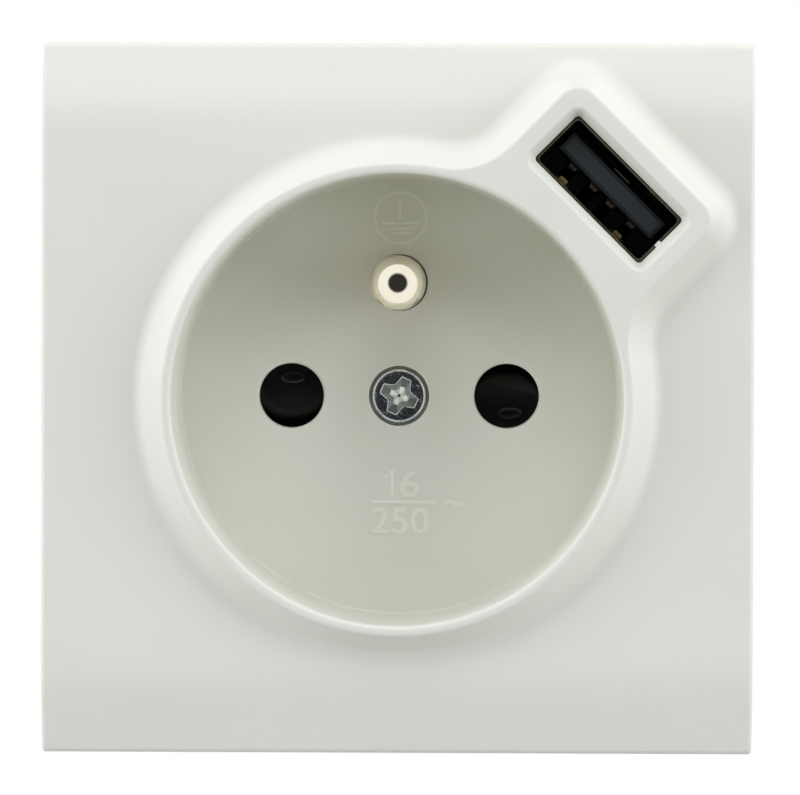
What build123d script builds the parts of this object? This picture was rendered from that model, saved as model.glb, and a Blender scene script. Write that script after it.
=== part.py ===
from build123d import *
import os
from math import asin, cos, degrees, radians, sin, tan

# Flush wall socket with an earth pin, a rotary safety shutter and a USB charging outlet.
# Millimetres. X to the right, Z up, Y into the wall. The origin is on the axis of the round well,
# in the plane of the wall, so what has negative Y stands proud of the wall.
# The USB outlet sits on the diagonal. Its pieces are drawn with X outward along that diagonal and
# Z across it, and to_lobe turns them into place.

# Sizes fixed by the plug, the wall box and the USB connector
PIN_SPACING = 19.0  # between the axes of the two pin holes
PLUG_PIN_R = 2.4
PLUG_PIN_LENGTH = 19.0
EARTH_RISE = 10.0  # earth pin's axis above the middle of the well
EARTH_REACH = 14.0  # earth pin's tip in front of the well's floor
BOX_SCREW_PCD = 60.0
BOX_SCREW_HOLE_R = 2.1
USB_SHELL_W = 13.1
USB_SHELL_H = 5.72
USB_SHELL_DEPTH = 13.9
USB_PITCHES = (-3.5, -1.0, 1.0, 3.5)  # the four contacts across the tongue

# Clearances, each side
SLIP = 0.05  # pieces that turn or slide on each other
SNUG = 0.15  # pieces pushed into a groove
LOOSE = 0.3  # pieces that must never rub

# Front cover: well, collar and lobe
WELL_R = 19.25
WELL_DEPTH = 15.6  # from the collar's rim
WELL_WALL = 1.45
WELL_LIP = 0.45  # bevel of the mouth
FLOOR_WALL = 2.0
RIM_WIDTH = 1.0  # ring round the mouth
COLLAR_RISE = 2.8  # rim in front of the plate
FLANK_LEAN = 35.0  # of the collar's flank, from straight out
COVE_R = 1.8  # hollow foot of the flank
LOBE_ANGLE = 45.0
LOBE_RIM = 1.35  # flat border round the window's bevel
LOBE_CORNER = 1.8
LOBE_BLEND = 7.0  # where the lobe's sides run into the collar
WINDOW_W = 12.8
WINDOW_H = 5.4
WINDOW_CORNER = 0.4
WINDOW_BEVEL = 0.8
WINDOW_BEVEL_DEPTH = 0.9
WINDOW_LEDGE = 0.4  # straight stretch behind the bevel
PIN_HOLE_R = 2.85
PIN_HOLE_BEVEL = 0.35

# Front cover: plate and skirt
PLATE_MARGIN = 1.0  # plain border outside the lobe's cove
PLATE_CORNER = 0.6
PLATE_EDGE = 0.4  # bevel round the front
FACE_RISE = 8.8  # plate's face in front of the wall
FACE_WALL = 2.0
SKIRT_WALL = 1.4
SKIRT_GAP = 0.2  # skirt stops short of an uneven wall
BAND = 7.55  # height of the top and bottom bands that bend back
BEND_R = 10.6
BEND_ANGLE = 17.0
CORNER_POST = 2.4
CORNER_POST_INSET = 2.4  # from the strap's edges to the post's axis

# Cover screw
SCREW_R = 1.7
SCREW_HEAD_R = 2.28
SCREW_HEAD_T = 1.2
SCREW_SINK = 0.15  # head's top below the well's floor
SCREW_REACH = 6.5  # shank in the base's post
COUNTERBORE_R = 2.65
CROSS_WIDTH = 0.82
CROSS_SPAN = 3.34
CROSS_FLANK = 0.42  # cut off the corners between the arms
CROSS_DEPTH = 0.8
CROSS_TURN = 24.0

# Strap and base
STRAP_T = 1.2
STRAP_CORNER = 3.0
EAR_T = 1.0
EAR_W = 8.0
EAR_REACH = 4.0  # outside the body's flats
STAKE_W = 1.6
STAKE_H = 4.0
STAKE_REACH = 2.2  # its middle outside the body's flats
BODY_WALL = 3.6  # between the well's pocket and the body's flats
BODY_SIDE_WALL = 1.65  # beside the board
BODY_END_WALL = 1.3  # outside the USB shell
BODY_CORNER = 3.0
BASE_FLOOR = 1.6
POST_R = 3.2
CONTACT_HOLE = 6.4  # square opening in front of each clip

# Shutter and its spring
HUB_R = 5.4
SHUTTER_T = 3.0
ARM_LAP = 1.25  # arm outside the pin hole
ARM_LAP_ANGLE = 3.0
RAMP_DEPTH = 2.0
RAMP_FOOT = 0.6  # where the ramp starts, past the arm's middle
SHUTTER_TURN = 40.0
STOP_LENGTH = 1.6
STOP_ANGLE = 6.0
STOP_GAP_ANGLE = 2.0
SPRING_R = 4.1  # inside of the bend
SPRING_T = 0.3
SPRING_W = 2.0
SPRING_SPACE = 3.1
SPRING_LEG = 6.0
SPRING_SPREAD = 90.0  # between the legs
LEG_GRIP = 5.0  # where a leg meets its peg
PEG = 1.2  # square, with a side along the leg
PEG_LENGTH = 1.6

# Earth pin
EARTH_SHANK_R = 2.2  # behind the well's floor
EARTH_FLANGE_R = 3.2
EARTH_FLANGE_T = 0.8

# Rear housing
HOUSING_WALL = 1.6
REAR_WALL = 1.8
LEAD_SPACE = 2.6  # between the clips and the rear wall
HOOK_W = 6.0
HOOK_T = 1.0
HOOK_REACH = 5.0  # in front of the base's back
HOOK_BARB = 1.5  # length of the barb
HOOK_CATCH = 0.6
WIRE_HOLE_R = 2.1
WIRE_GUIDE_WALL = 1.1
ACCESS_WINDOW = 4.4  # square opening beside each clamp screw

# Contacts and terminals
STRIP_T = 0.6
CLIP_HEIGHT = 6.0
CLIP_HALF = 3.0  # inner half width at the mouth and at the back
CLIP_GRIP = 0.2  # each blade closer than the plug's pin
CLIP_WAIST = 4.0  # behind the mouth
CLIP_START = 0.4  # mouth behind the base
TIP_ROOM = 1.5  # behind the plug pin's tip
TAIL_W = 4.0
BRIDGE_T = 1.2
BRIDGE_END_R = 3.6
TERMINAL_X = 13.6
TERMINAL_Z = 7.2
TERMINAL_W = 7.2
TERMINAL_H = 6.2
TERMINAL_L = 9.5
TERMINAL_EDGE = 0.3
CHANNEL_W = 4.0
CHANNEL_H = 4.2
TONGUE_H = 3.6
TONGUE_L = 7.0
CLAMP_SCREW_R = 1.5
CLAMP_SCREW_L = 3.8
CLAMP_SCREW_BITE = 0.6  # tip inside the channel
CLAMP_SLOT = 0.7

# USB outlet and its board
BOARD_T = 1.0
BOARD_HALF = 7.9
BOARD_GAP = 1.0  # from the well's wall
BOARD_START = 4.4  # behind the shell's mouth
USB_SINK = 1.7  # shell's mouth behind the rim
SHELL_T = 0.3
SHELL_CORNER = 0.7
SHELL_NOTCH_W = 1.2
SHELL_NOTCH_DEPTH = 1.0
FINGER_W = 1.5
FINGER_L = 4.0
FINGER_START = 1.6
FINGER_BEND = 0.45
FINGER_AT = 3.3
SHELL_LEG_W = 2.0
SHELL_LEG_L = 0.6  # past the board
SHELL_LEG_AT = 8.0  # behind the mouth
TONGUE_W = 11.1
TONGUE_T = 1.84
TONGUE_LIFT = 0.5
TONGUE_SINK = 1.0  # tongue's tip behind the shell's mouth
INSULATOR_BLOCK = 4.2
CONTACT_W = 1.0
CONTACT_T = 0.25
CONTACT_SINK = 0.6

# Parts on the board
CORE_W = 9.6
CORE_L = 8.4
CORE_T = 3.5
CORE_LIMB = 2.8
CORE_WINDOW_W = 2.0
CORE_WINDOW_L = 5.0
WINDING_T = 1.7
TRANSFORMER_ACROSS = 2.6
TRANSFORMER_BACK = 5.6  # its middle behind the base
INPUT_CAN_R = 2.5
INPUT_CAN_H = 7.0
INPUT_CAN_BACK = 3.6
OUTPUT_CAN_R = 2.0
OUTPUT_CAN_H = 6.0
OUTPUT_CAN_BACK = 8.6
CAN_ACROSS = -5.0
CHIP_W = 3.9
CHIP_L = 5.0
CHIP_T = 1.6
CHIP_AT = -3.5
CHIP_LEG = (0.9, 0.5, 0.25)  # length, width and thickness
CHIP_LEG_PITCH = 1.27
CHIP_LEGS = 4  # on each side
RECTIFIER_W = 4.4
RECTIFIER_T = 2.2
RECTIFIER_LEG_PITCH = 2.54
RECTIFIER_LEGS = 2
RECTIFIER_AT = 3.5
CHIPS_BACK = 5.0
FUSE_R = 2.0
FUSE_H = 4.0
FUSE_BACK = 10.2
LEAD_R = 0.65
LEAD_LIFT = 1.2  # lead's axis behind the clips
LUG_W = 2.0  # clip's solder lug

# Planes along Y, from the front to the back
STRAP_FRONT = -STRAP_T
EAR_FRONT = STRAP_FRONT - EAR_T
FACE_Y = -FACE_RISE
RIM_Y = FACE_Y - COLLAR_RISE
FLOOR_Y = RIM_Y + WELL_DEPTH
SEAT_Y = FLOOR_Y + FLOOR_WALL
SHUTTER_FRONT = SEAT_Y + LOOSE
SHUTTER_BACK = SHUTTER_FRONT + SHUTTER_T
CAVITY_BACK = SHUTTER_BACK + SPRING_SPACE
BASE_BACK = CAVITY_BACK + BASE_FLOOR
CLIP_FRONT = BASE_BACK + CLIP_START
CLIP_BACK = FLOOR_Y + PLUG_PIN_LENGTH + TIP_ROOM + STRIP_T
HOUSING_INNER = CLIP_BACK + LEAD_SPACE
HOUSING_BACK = HOUSING_INNER + REAR_WALL
USB_FRONT = RIM_Y + USB_SINK
USB_BACK = USB_FRONT + USB_SHELL_DEPTH
TERMINAL_Y = BASE_BACK + TERMINAL_L / 2

# Sizes in plan that follow from the ones above
PIN_X = PIN_SPACING / 2
COLLAR_R = WELL_R + RIM_WIDTH
WELL_OUTER_R = WELL_R + WELL_WALL
BOARD_INNER = WELL_OUTER_R + BOARD_GAP
BOARD_OUTER = BOARD_INNER + BOARD_T
USB_MIDDLE = BOARD_OUTER + USB_SHELL_H / 2
USB_TOP = BOARD_OUTER + USB_SHELL_H
LOBE_REACH = USB_MIDDLE + WINDOW_H / 2 + WINDOW_BEVEL + LOBE_RIM
LOBE_HALF = WINDOW_W / 2 + WINDOW_BEVEL + LOBE_RIM
LOBE_TURN = radians(LOBE_ANGLE)
LOBE_HEIGHT = (
    (LOBE_REACH - LOBE_CORNER) * sin(LOBE_TURN) + (LOBE_HALF - LOBE_CORNER) * cos(LOBE_TURN) + LOBE_CORNER
)
FLANK_REACH = COLLAR_RISE * tan(radians(FLANK_LEAN)) + COVE_R * tan(radians(45 - FLANK_LEAN / 2))
PLATE = 2 * (LOBE_HEIGHT + FLANK_REACH + PLATE_MARGIN)
FLAT_HALF = PLATE / 2 - BAND
STRAP = PLATE - 2 * SKIRT_WALL - 2 * LOOSE
BODY_FLAT = WELL_OUTER_R + LOOSE + BODY_WALL
STAKE_X = BODY_FLAT + STAKE_REACH
BODY_HALF = BOARD_HALF + SNUG + BODY_SIDE_WALL
BODY_REACH = USB_TOP + LOOSE + BODY_END_WALL
ARM_REACH = PIN_X + PIN_HOLE_R + ARM_LAP
ARM_HALF_ANGLE = degrees(asin(PIN_HOLE_R / PIN_X)) + ARM_LAP_ANGLE
CAVITY_R = ARM_REACH + 2 * LOOSE
CHANNEL_INNER = TERMINAL_X - CHANNEL_W / 2 - SNUG
WIRE_X = (CHANNEL_INNER + STRIP_T + TERMINAL_X + CHANNEL_W / 2) / 2
PEG_OFFSET = PEG / 2 + SLIP
LEG_TURN = radians(SPRING_SPREAD / 2)
PEG_X = (SPRING_R - PEG_OFFSET) * cos(LEG_TURN) + LEG_GRIP * sin(LEG_TURN)
PEG_Z = LEG_GRIP * cos(LEG_TURN) - (SPRING_R - PEG_OFFSET) * sin(LEG_TURN)


def slab(sketch, front, back):
    """Give a sketch drawn in X and Z the depth from front to back along Y."""
    return extrude(Plane.XZ.offset(-back) * sketch, amount=back - front)


def rod(radius, front, back, x=0.0, z=0.0):
    """Round bar along Y."""
    return slab(Pos(x, z) * Circle(radius), front, back)


def cross_rod(radius, start, end, y, z):
    """Round bar along X."""
    return extrude(Plane.YZ.offset(start) * Pos(y, z) * Circle(radius), amount=end - start)


def brick(x, y, z):
    """Box given by its low and high values along each axis."""
    sizes = [high - low for low, high in (x, y, z)]
    middle = [(high + low) / 2 for low, high in (x, y, z)]
    return Pos(*middle) * Box(*sizes)


def turned(points):
    """Solid turned about the Y axis from an outline of radius and Y."""
    return revolve(make_face(Polyline(*points, close=True)), axis=Axis.Y)


def sector(inner, outer, start, sweep):
    """Piece of a ring between two angles, counted from X towards Z."""
    outside = CenterArc((0, 0), outer, start, sweep)
    inside = CenterArc((0, 0), inner, start, sweep)
    return make_face(outside + inside + Line(inside @ 0, outside @ 0) + Line(inside @ 1, outside @ 1))


def to_lobe(piece):
    """Turn a piece drawn with X along the lobe's diagonal into place."""
    return Rot(0, -LOBE_ANGLE, 0) * piece


def tongue_plan(reach, half, corner):
    """Bar that runs out from the axis along X, with rounded far corners."""
    bar = Pos(reach / 2, 0) * Rectangle(reach, 2 * half)
    return fillet(bar.vertices().group_by(Axis.X)[-1], corner)


def collar_plan():
    """Outline of the collar: the ring and its lobe, run together by large rounds."""
    plan = Circle(COLLAR_R) + tongue_plan(LOBE_REACH, LOBE_HALF, LOBE_CORNER)
    plan = fillet(plan.vertices().group_by(Axis.X)[0], LOBE_BLEND)
    return Rot(0, 0, LOBE_ANGLE) * plan


def body_plan(grow=0.0):
    """Eight-sided outline of the body behind the cover, with its lobe, moved outward by grow."""
    tongue = tongue_plan(BODY_REACH + grow, BODY_HALF + grow, BODY_CORNER + grow)
    octagon = RegularPolygon(BODY_FLAT + grow, 8, major_radius=False, rotation=180 / 8)
    return Rot(0, 0, LOBE_ANGLE) * (octagon + tongue)


def plate_profile(inset, side_inset, back):
    """Upright section of the plate: flat middle, with bands above and below that bend back."""
    face = FACE_Y + inset
    edge_z = PLATE / 2 - side_inset
    flat = Line((face, -FLAT_HALF), (face, FLAT_HALF))
    bend = JernArc(flat @ 1, flat % 1, BEND_R - inset, -BEND_ANGLE)
    bend_y, bend_z = (bend @ 1).X, (bend @ 1).Y
    edge_y = bend_y + (edge_z - bend_z) * tan(radians(BEND_ANGLE))
    upper = bend + Polyline(bend @ 1, (edge_y, edge_z), (back, edge_z))
    lower = mirror(upper, about=Plane.XZ)
    return make_face(flat + upper + lower + Line((back, -edge_z), (back, edge_z)))


def plate_shell():
    """Plate with its collar and lobe, solid in front and hollow behind."""
    plate = extrude(Plane.YZ * plate_profile(0, 0, -SKIRT_GAP), amount=PLATE / 2, both=True)
    plate = fillet(plate.edges().filter_by(Axis.Y), PLATE_CORNER)
    front = [e for e in plate.edges() if e.bounding_box().max.Y < -SKIRT_GAP / 2]
    rim = [e for e in front if max(abs(e.center().X), abs(e.center().Z)) > PLATE / 2 - PLATE_CORNER]
    rim = [e for e in rim if e.bounding_box().max.Y < -FACE_RISE / 2]
    plate = chamfer(rim, PLATE_EDGE)
    collar = extrude(
        Plane.XZ.offset(-RIM_Y) * collar_plan(), amount=-(COLLAR_RISE + FACE_WALL), taper=-FLANK_LEAN
    )
    joined = plate + collar
    joint = [e for e in new_edges(plate, collar, combined=joined) if e.center().Y < FACE_Y + FACE_WALL / 2]
    coved = fillet(joint, COVE_R)
    hollow = plate_profile(FACE_WALL, SKIRT_WALL, 0)
    return coved - extrude(Plane.YZ * hollow, amount=PLATE / 2 - SKIRT_WALL, both=True)


def well_cut():
    """The well's space, with a bevelled mouth."""
    lip_y = RIM_Y + WELL_LIP
    return turned([(0, RIM_Y), (WELL_R + WELL_LIP, RIM_Y), (WELL_R, lip_y), (WELL_R, FLOOR_Y), (0, FLOOR_Y)])


def window_cut():
    """The USB window: bevelled mouth, short ledge, then room for the shell."""
    mouth = RectangleRounded(
        WINDOW_H + 2 * WINDOW_BEVEL, WINDOW_W + 2 * WINDOW_BEVEL, WINDOW_CORNER + WINDOW_BEVEL / 2
    )
    throat = RectangleRounded(WINDOW_H, WINDOW_W, WINDOW_CORNER)
    throat_y = RIM_Y + WINDOW_BEVEL_DEPTH
    bevel = loft([Plane.XZ.offset(-RIM_Y) * mouth, Plane.XZ.offset(-throat_y) * throat])
    room = Rectangle(USB_SHELL_H + 2 * LOOSE, USB_SHELL_W + 2 * LOOSE)
    cut = bevel + slab(throat, throat_y, throat_y + WINDOW_LEDGE)
    cut += slab(room, throat_y + WINDOW_LEDGE, 0)
    return to_lobe(Pos(USB_MIDDLE, 0, 0) * cut)


def pin_hole(x):
    """Hole for one plug pin through the well's floor, with a bevelled mouth."""
    bevel = turned(
        [(0, 0), (PIN_HOLE_R + PIN_HOLE_BEVEL, 0), (PIN_HOLE_R, PIN_HOLE_BEVEL), (0, PIN_HOLE_BEVEL)]
    )
    return rod(PIN_HOLE_R, FLOOR_Y, SEAT_Y, x) + Pos(x, FLOOR_Y, 0) * bevel


def front_cover():
    tube = rod(WELL_OUTER_R, FACE_Y + FACE_WALL / 2, SEAT_Y)
    cover = plate_shell() + tube
    post_at = STRAP / 2 - CORNER_POST_INSET
    for x in (-post_at, post_at):
        for z in (-post_at, post_at):
            post = Pos(x, z) * Rectangle(CORNER_POST, CORNER_POST)
            cover += slab(post, FACE_Y + FACE_WALL, STRAP_FRONT)
    cover -= well_cut()
    cover -= window_cut()
    cover -= [pin_hole(-PIN_X), pin_hole(PIN_X)]
    cover -= rod(PLUG_PIN_R + SNUG, FLOOR_Y, SEAT_Y, 0, EARTH_RISE)
    cover -= rod(COUNTERBORE_R, FLOOR_Y, FLOOR_Y + SCREW_SINK + SCREW_HEAD_T)
    return cover - rod(SCREW_R + SNUG, FLOOR_Y, SEAT_Y)


def cover_screw():
    top = FLOOR_Y + SCREW_SINK
    head = chamfer(rod(SCREW_HEAD_R, top, top + SCREW_HEAD_T).edges().sort_by(Axis.Y)[0], SCREW_HEAD_T / 4)
    arm = Rectangle(CROSS_SPAN, CROSS_WIDTH)
    cross = arm + Rot(0, 0, 90) * arm
    inner = sorted(cross.vertices(), key=lambda v: abs(v.X) + abs(v.Y))[:4]
    cross = Rot(0, 0, -CROSS_TURN) * chamfer(inner, CROSS_FLANK)
    return head + rod(SCREW_R, top, SEAT_Y + SCREW_REACH) - slab(cross, top, top + CROSS_DEPTH)


def mounting_strap():
    plan = RectangleRounded(STRAP, STRAP, STRAP_CORNER) - body_plan(LOOSE)
    for angle in (135, 315):
        plan -= Rot(0, 0, angle) * Pos(BOX_SCREW_PCD / 2, 0) * Circle(BOX_SCREW_HOLE_R)
    for side in (-1, 1):
        plan -= Pos(side * STAKE_X, 0) * Rectangle(STAKE_W + 2 * SLIP, STAKE_H + 2 * SLIP)
    return slab(plan, STRAP_FRONT, 0)


def board_slot():
    """Way through the base for the USB shell, with grooves that guide the board's edges."""
    half = USB_SHELL_W / 2 + LOOSE
    depth = (EAR_FRONT, BASE_BACK)
    groove_half = BOARD_HALF + SNUG
    way = brick((BOARD_INNER - SHELL_LEG_L - LOOSE, USB_TOP + LOOSE), depth, (-half, half))
    way += brick((BOARD_INNER - SNUG, BOARD_OUTER + SNUG), depth, (-groove_half, groove_half))
    return to_lobe(way)


def shutter_stops():
    """Two stops on the cavity's wall, one for each end of the right arm's travel."""
    closed = ARM_HALF_ANGLE + STOP_GAP_ANGLE
    opened = -ARM_HALF_ANGLE - SHUTTER_TURN - STOP_GAP_ANGLE - STOP_ANGLE
    inner = CAVITY_R - STOP_LENGTH
    return [
        slab(sector(inner, CAVITY_R + STOP_LENGTH, start, STOP_ANGLE), SEAT_Y + LOOSE, CAVITY_BACK)
        for start in (closed, opened)
    ]


def spring_peg(front, back, side):
    """Peg that one leg of the shutter's spring presses on. Side 1 is right, -1 left."""
    peg = Rot(0, 0, -side * SPRING_SPREAD / 2) * Rectangle(PEG, PEG)
    return slab(Pos(side * PEG_X, PEG_Z) * peg, front, back)


def around(piece):
    """Copies of a piece drawn towards X, on the body's right, upper, left and lower flats."""
    return [Rot(0, -turn, 0) * piece for turn in (0, 90, 180, 270)]


def housing_hook():
    """Snap hook that reaches forward from the housing along a flat of the base."""
    inner = BODY_FLAT - HOOK_T
    root = BASE_BACK + HOUSING_WALL
    front = BASE_BACK - HOOK_REACH
    catch_y = front + HOOK_BARB
    outline = [(BODY_FLAT, root), (BODY_FLAT, front), (inner, front), (inner - HOOK_CATCH, catch_y)]
    outline += [(inner, catch_y), (inner, root)]
    return extrude(make_face(Polyline(*outline, close=True)), amount=HOOK_W / 2, both=True)


def hook_recess():
    """Groove in a flat of the base for a hook's arm, and a pocket for its barb."""
    inner = BODY_FLAT - HOOK_T - SNUG
    front = BASE_BACK - HOOK_REACH
    across = (-HOOK_W / 2 - SNUG, HOOK_W / 2 + SNUG)
    groove = brick((inner, BODY_FLAT), (front - SNUG, BASE_BACK), across)
    return groove + brick((inner - HOOK_CATCH, BODY_FLAT), (front - SNUG, front + HOOK_BARB + SLIP), across)


def socket_base():
    base = slab(body_plan(), EAR_FRONT, BASE_BACK)
    base += slab(Rectangle(2 * (BODY_FLAT + EAR_REACH), EAR_W), EAR_FRONT, STRAP_FRONT)
    stake = Rectangle(STAKE_W, STAKE_H)
    base += [slab(Pos(side * STAKE_X, 0) * stake, STRAP_FRONT, 0) for side in (-1, 1)]
    base -= rod(WELL_OUTER_R + LOOSE, EAR_FRONT, SEAT_Y)
    base -= rod(CAVITY_R, SEAT_Y, CAVITY_BACK)
    base += rod(POST_R, SEAT_Y, BASE_BACK)
    base += shutter_stops()
    base += spring_peg(CAVITY_BACK - PEG_LENGTH, CAVITY_BACK, -1)
    base -= board_slot()
    base -= rod(SCREW_R + SLIP, SEAT_Y, SEAT_Y + SCREW_REACH + LOOSE)
    opening = Rectangle(CONTACT_HOLE, CONTACT_HOLE)
    base -= [slab(Pos(x, 0) * opening, CAVITY_BACK, BASE_BACK) for x in (-PIN_X, PIN_X)]
    base -= rod(EARTH_SHANK_R + SLIP, CAVITY_BACK, BASE_BACK, 0, EARTH_RISE)
    return base - around(hook_recess())


def terminal_places():
    """Wire entries at the back: the sign of X and of Z for live, neutral and earth."""
    return [(1, -1), (-1, -1), (-1, 1)]


def rear_housing():
    shell = slab(body_plan(), BASE_BACK, HOUSING_BACK)
    shell -= slab(body_plan(-HOUSING_WALL), BASE_BACK, HOUSING_INNER)
    shell += around(housing_hook())
    guide_front = CLIP_BACK + LOOSE
    guide = Rectangle(*[2 * (WIRE_HOLE_R + WIRE_GUIDE_WALL)] * 2)
    for side, rise in terminal_places():
        x, z = side * WIRE_X, rise * TERMINAL_Z
        shell += slab(Pos(x, z) * guide, guide_front, HOUSING_BACK)
        shell -= rod(WIRE_HOLE_R, guide_front, HOUSING_BACK, x, z)
        ends = sorted((side * (TERMINAL_X + TERMINAL_W / 2), side * BODY_FLAT))
        half = ACCESS_WINDOW / 2
        shell -= brick(ends, (TERMINAL_Y - half, TERMINAL_Y + half), (z - half, z + half))
    return shell


def shutter():
    """Rotary shutter: a hub with two arms. Each arm has a ramp that a plug's pin pushes aside."""
    arm = slab(
        sector(POST_R + LOOSE, ARM_REACH, -ARM_HALF_ANGLE, 2 * ARM_HALF_ANGLE), SHUTTER_FRONT, SHUTTER_BACK
    )
    arm_top = ARM_REACH * sin(radians(ARM_HALF_ANGLE))
    foot, crest = (SHUTTER_FRONT, -RAMP_FOOT), (SHUTTER_FRONT, arm_top)
    ramp = make_face(Polyline(foot, crest, (SHUTTER_FRONT + RAMP_DEPTH, arm_top), close=True))
    arm -= extrude(Plane.YZ.offset(HUB_R) * ramp, amount=ARM_REACH - HUB_R)
    piece = rod(HUB_R, SHUTTER_FRONT, SHUTTER_BACK) + arm + Rot(0, 180, 0) * arm
    piece += spring_peg(SHUTTER_BACK, SHUTTER_BACK + PEG_LENGTH, 1)
    return piece - rod(POST_R + SLIP, SHUTTER_FRONT, SHUTTER_BACK)


def shutter_spring():
    """Hairpin of spring strip bent round the post's underside. Its legs press on the two pegs."""
    wrap = 180 - SPRING_SPREAD
    bend = sector(SPRING_R, SPRING_R + SPRING_T, 270 - wrap / 2, wrap)
    leg = Pos(SPRING_R + SPRING_T / 2, SPRING_LEG / 2) * Rectangle(SPRING_T, SPRING_LEG)
    right = Rot(0, 0, -SPRING_SPREAD / 2) * leg
    front = SHUTTER_BACK + LOOSE
    return slab(bend + right + mirror(right, about=Plane.YZ), front, front + SPRING_W)


def earth_pin():
    round_y = FLOOR_Y - EARTH_REACH + PLUG_PIN_R
    flange_y = BASE_BACK + BRIDGE_T
    pin = Pos(0, round_y, 0) * Sphere(PLUG_PIN_R) + rod(PLUG_PIN_R, round_y, FLOOR_Y)
    pin += rod(EARTH_SHANK_R, FLOOR_Y, flange_y)
    pin += rod(EARTH_FLANGE_R, flange_y, flange_y + EARTH_FLANGE_T)
    return Pos(0, 0, EARTH_RISE) * pin


def earth_bridge():
    """Plate from the earth pin to its terminal, with a tongue bent back into the terminal."""
    end_x = -CHANNEL_INNER - STRIP_T
    bar = Pos(end_x / 2, TERMINAL_Z) * Rectangle(-end_x, TONGUE_H)
    end = Circle(BRIDGE_END_R)
    plan = bar + Pos(0, EARTH_RISE) * end - Pos(0, EARTH_RISE) * Circle(EARTH_SHANK_R + SLIP)
    rise = (TERMINAL_Z - TONGUE_H / 2, TERMINAL_Z + TONGUE_H / 2)
    tongue = brick((end_x, end_x + STRIP_T), (BASE_BACK, BASE_BACK + BRIDGE_T + TONGUE_L), rise)
    return slab(plan, BASE_BACK, BASE_BACK + BRIDGE_T) + tongue


def pin_clip():
    """Live clip: two spring blades from one strip, and a tail with a tongue for the terminal."""
    waist, waist_y = PLUG_PIN_R - CLIP_GRIP, CLIP_FRONT + CLIP_WAIST
    right = [(CLIP_HALF, CLIP_FRONT), (waist, waist_y), (CLIP_HALF, CLIP_BACK - STRIP_T)]
    outer = [(CLIP_HALF + STRIP_T, CLIP_FRONT), (waist + STRIP_T, waist_y), (CLIP_HALF + STRIP_T, CLIP_BACK)]
    outline = right + [(-x, y) for x, y in reversed(right)]
    outline += [(-x, y) for x, y in outer] + outer[::-1]
    blades = extrude(make_face(Polyline(*outline, close=True)), amount=CLIP_HEIGHT / 2, both=True)
    tongue_x = (CHANNEL_INNER, CHANNEL_INNER + STRIP_T)
    low = -TERMINAL_Z - TONGUE_H / 2
    tail = brick((tongue_x[1] - TAIL_W, tongue_x[1]), (CLIP_BACK - STRIP_T, CLIP_BACK), (low, 0))
    tongue = brick(tongue_x, (CLIP_BACK - STRIP_T - TONGUE_L, CLIP_BACK), (low, low + TONGUE_H))
    return Pos(PIN_X, 0, 0) * blades + tail + tongue


def terminal_block():
    """Live terminal: brass block with a wire channel along Y and a tapped hole from the side."""
    plan = Pos(TERMINAL_X, -TERMINAL_Z) * Rectangle(TERMINAL_W, TERMINAL_H)
    block = slab(plan, BASE_BACK, BASE_BACK + TERMINAL_L)
    block = chamfer(block.edges().filter_by(Axis.Y), TERMINAL_EDGE)
    channel_x = (CHANNEL_INNER, TERMINAL_X + CHANNEL_W / 2)
    channel_z = (-TERMINAL_Z - CHANNEL_H / 2, -TERMINAL_Z + CHANNEL_H / 2)
    block -= brick(channel_x, (BASE_BACK, BASE_BACK + TERMINAL_L), channel_z)
    return block - cross_rod(
        CLAMP_SCREW_R + SLIP, TERMINAL_X, TERMINAL_X + TERMINAL_W, TERMINAL_Y, -TERMINAL_Z
    )


def clamp_screw():
    """Live terminal's headless screw, with its slot towards the side."""
    tip = TERMINAL_X + CHANNEL_W / 2 - CLAMP_SCREW_BITE
    end = tip + CLAMP_SCREW_L
    screw = cross_rod(CLAMP_SCREW_R, tip, end, TERMINAL_Y, -TERMINAL_Z)
    half = CLAMP_SLOT / 2
    span_y = (TERMINAL_Y - CLAMP_SCREW_R, TERMINAL_Y + CLAMP_SCREW_R)
    return screw - brick((end - CLAMP_SLOT, end), span_y, (-TERMINAL_Z - half, -TERMINAL_Z + half))


def to_neutral(piece):
    return mirror(piece, about=Plane.YZ)


def to_earth(piece):
    """Earth's copy sits diagonally opposite the live one, on top of the bridge."""
    return Pos(0, BRIDGE_T, 0) * mirror(mirror(piece, about=Plane.YZ), about=Plane.XY)


def usb_board():
    along = (USB_FRONT + BOARD_START, HOUSING_INNER)
    board = brick((BOARD_INNER, BOARD_OUTER), along, (-BOARD_HALF, BOARD_HALF))
    for leg in shell_legs(SNUG):
        board -= leg
    return to_lobe(board)


def shell_legs(grow=0.0):
    """Two tabs that pass from the shell's sides through the board."""
    start = USB_FRONT + SHELL_LEG_AT
    along = (start - grow, start + SHELL_LEG_W + grow)
    legs = []
    for side in (-1, 1):
        outer, inner = side * (USB_SHELL_W / 2 + grow), side * (USB_SHELL_W / 2 - SHELL_T - grow)
        across = tuple(sorted((outer, inner)))
        legs.append(brick((BOARD_INNER - SHELL_LEG_L, USB_MIDDLE), along, across))
    return legs


def shell_finger(side, across):
    """Spring finger of one long wall (side -1 towards the well), bent into the mouth."""
    wall = USB_MIDDLE + side * (USB_SHELL_H / 2 - SHELL_T / 2)
    start, tip = USB_FRONT + FINGER_START, USB_FRONT + FINGER_START + FINGER_L
    half, dip = SHELL_T / 2, -side * FINGER_BEND
    outline = [
        (wall - half, tip),
        (wall - half + dip, start + FINGER_L / 4),
        (wall - half, start),
        (wall + half, start),
        (wall + half + dip, start + FINGER_L / 4),
        (wall + half, tip),
    ]
    strip = extrude(make_face(Polyline(*outline, close=True)), amount=FINGER_W / 2, both=True)
    return Pos(0, 0, across) * strip


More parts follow.
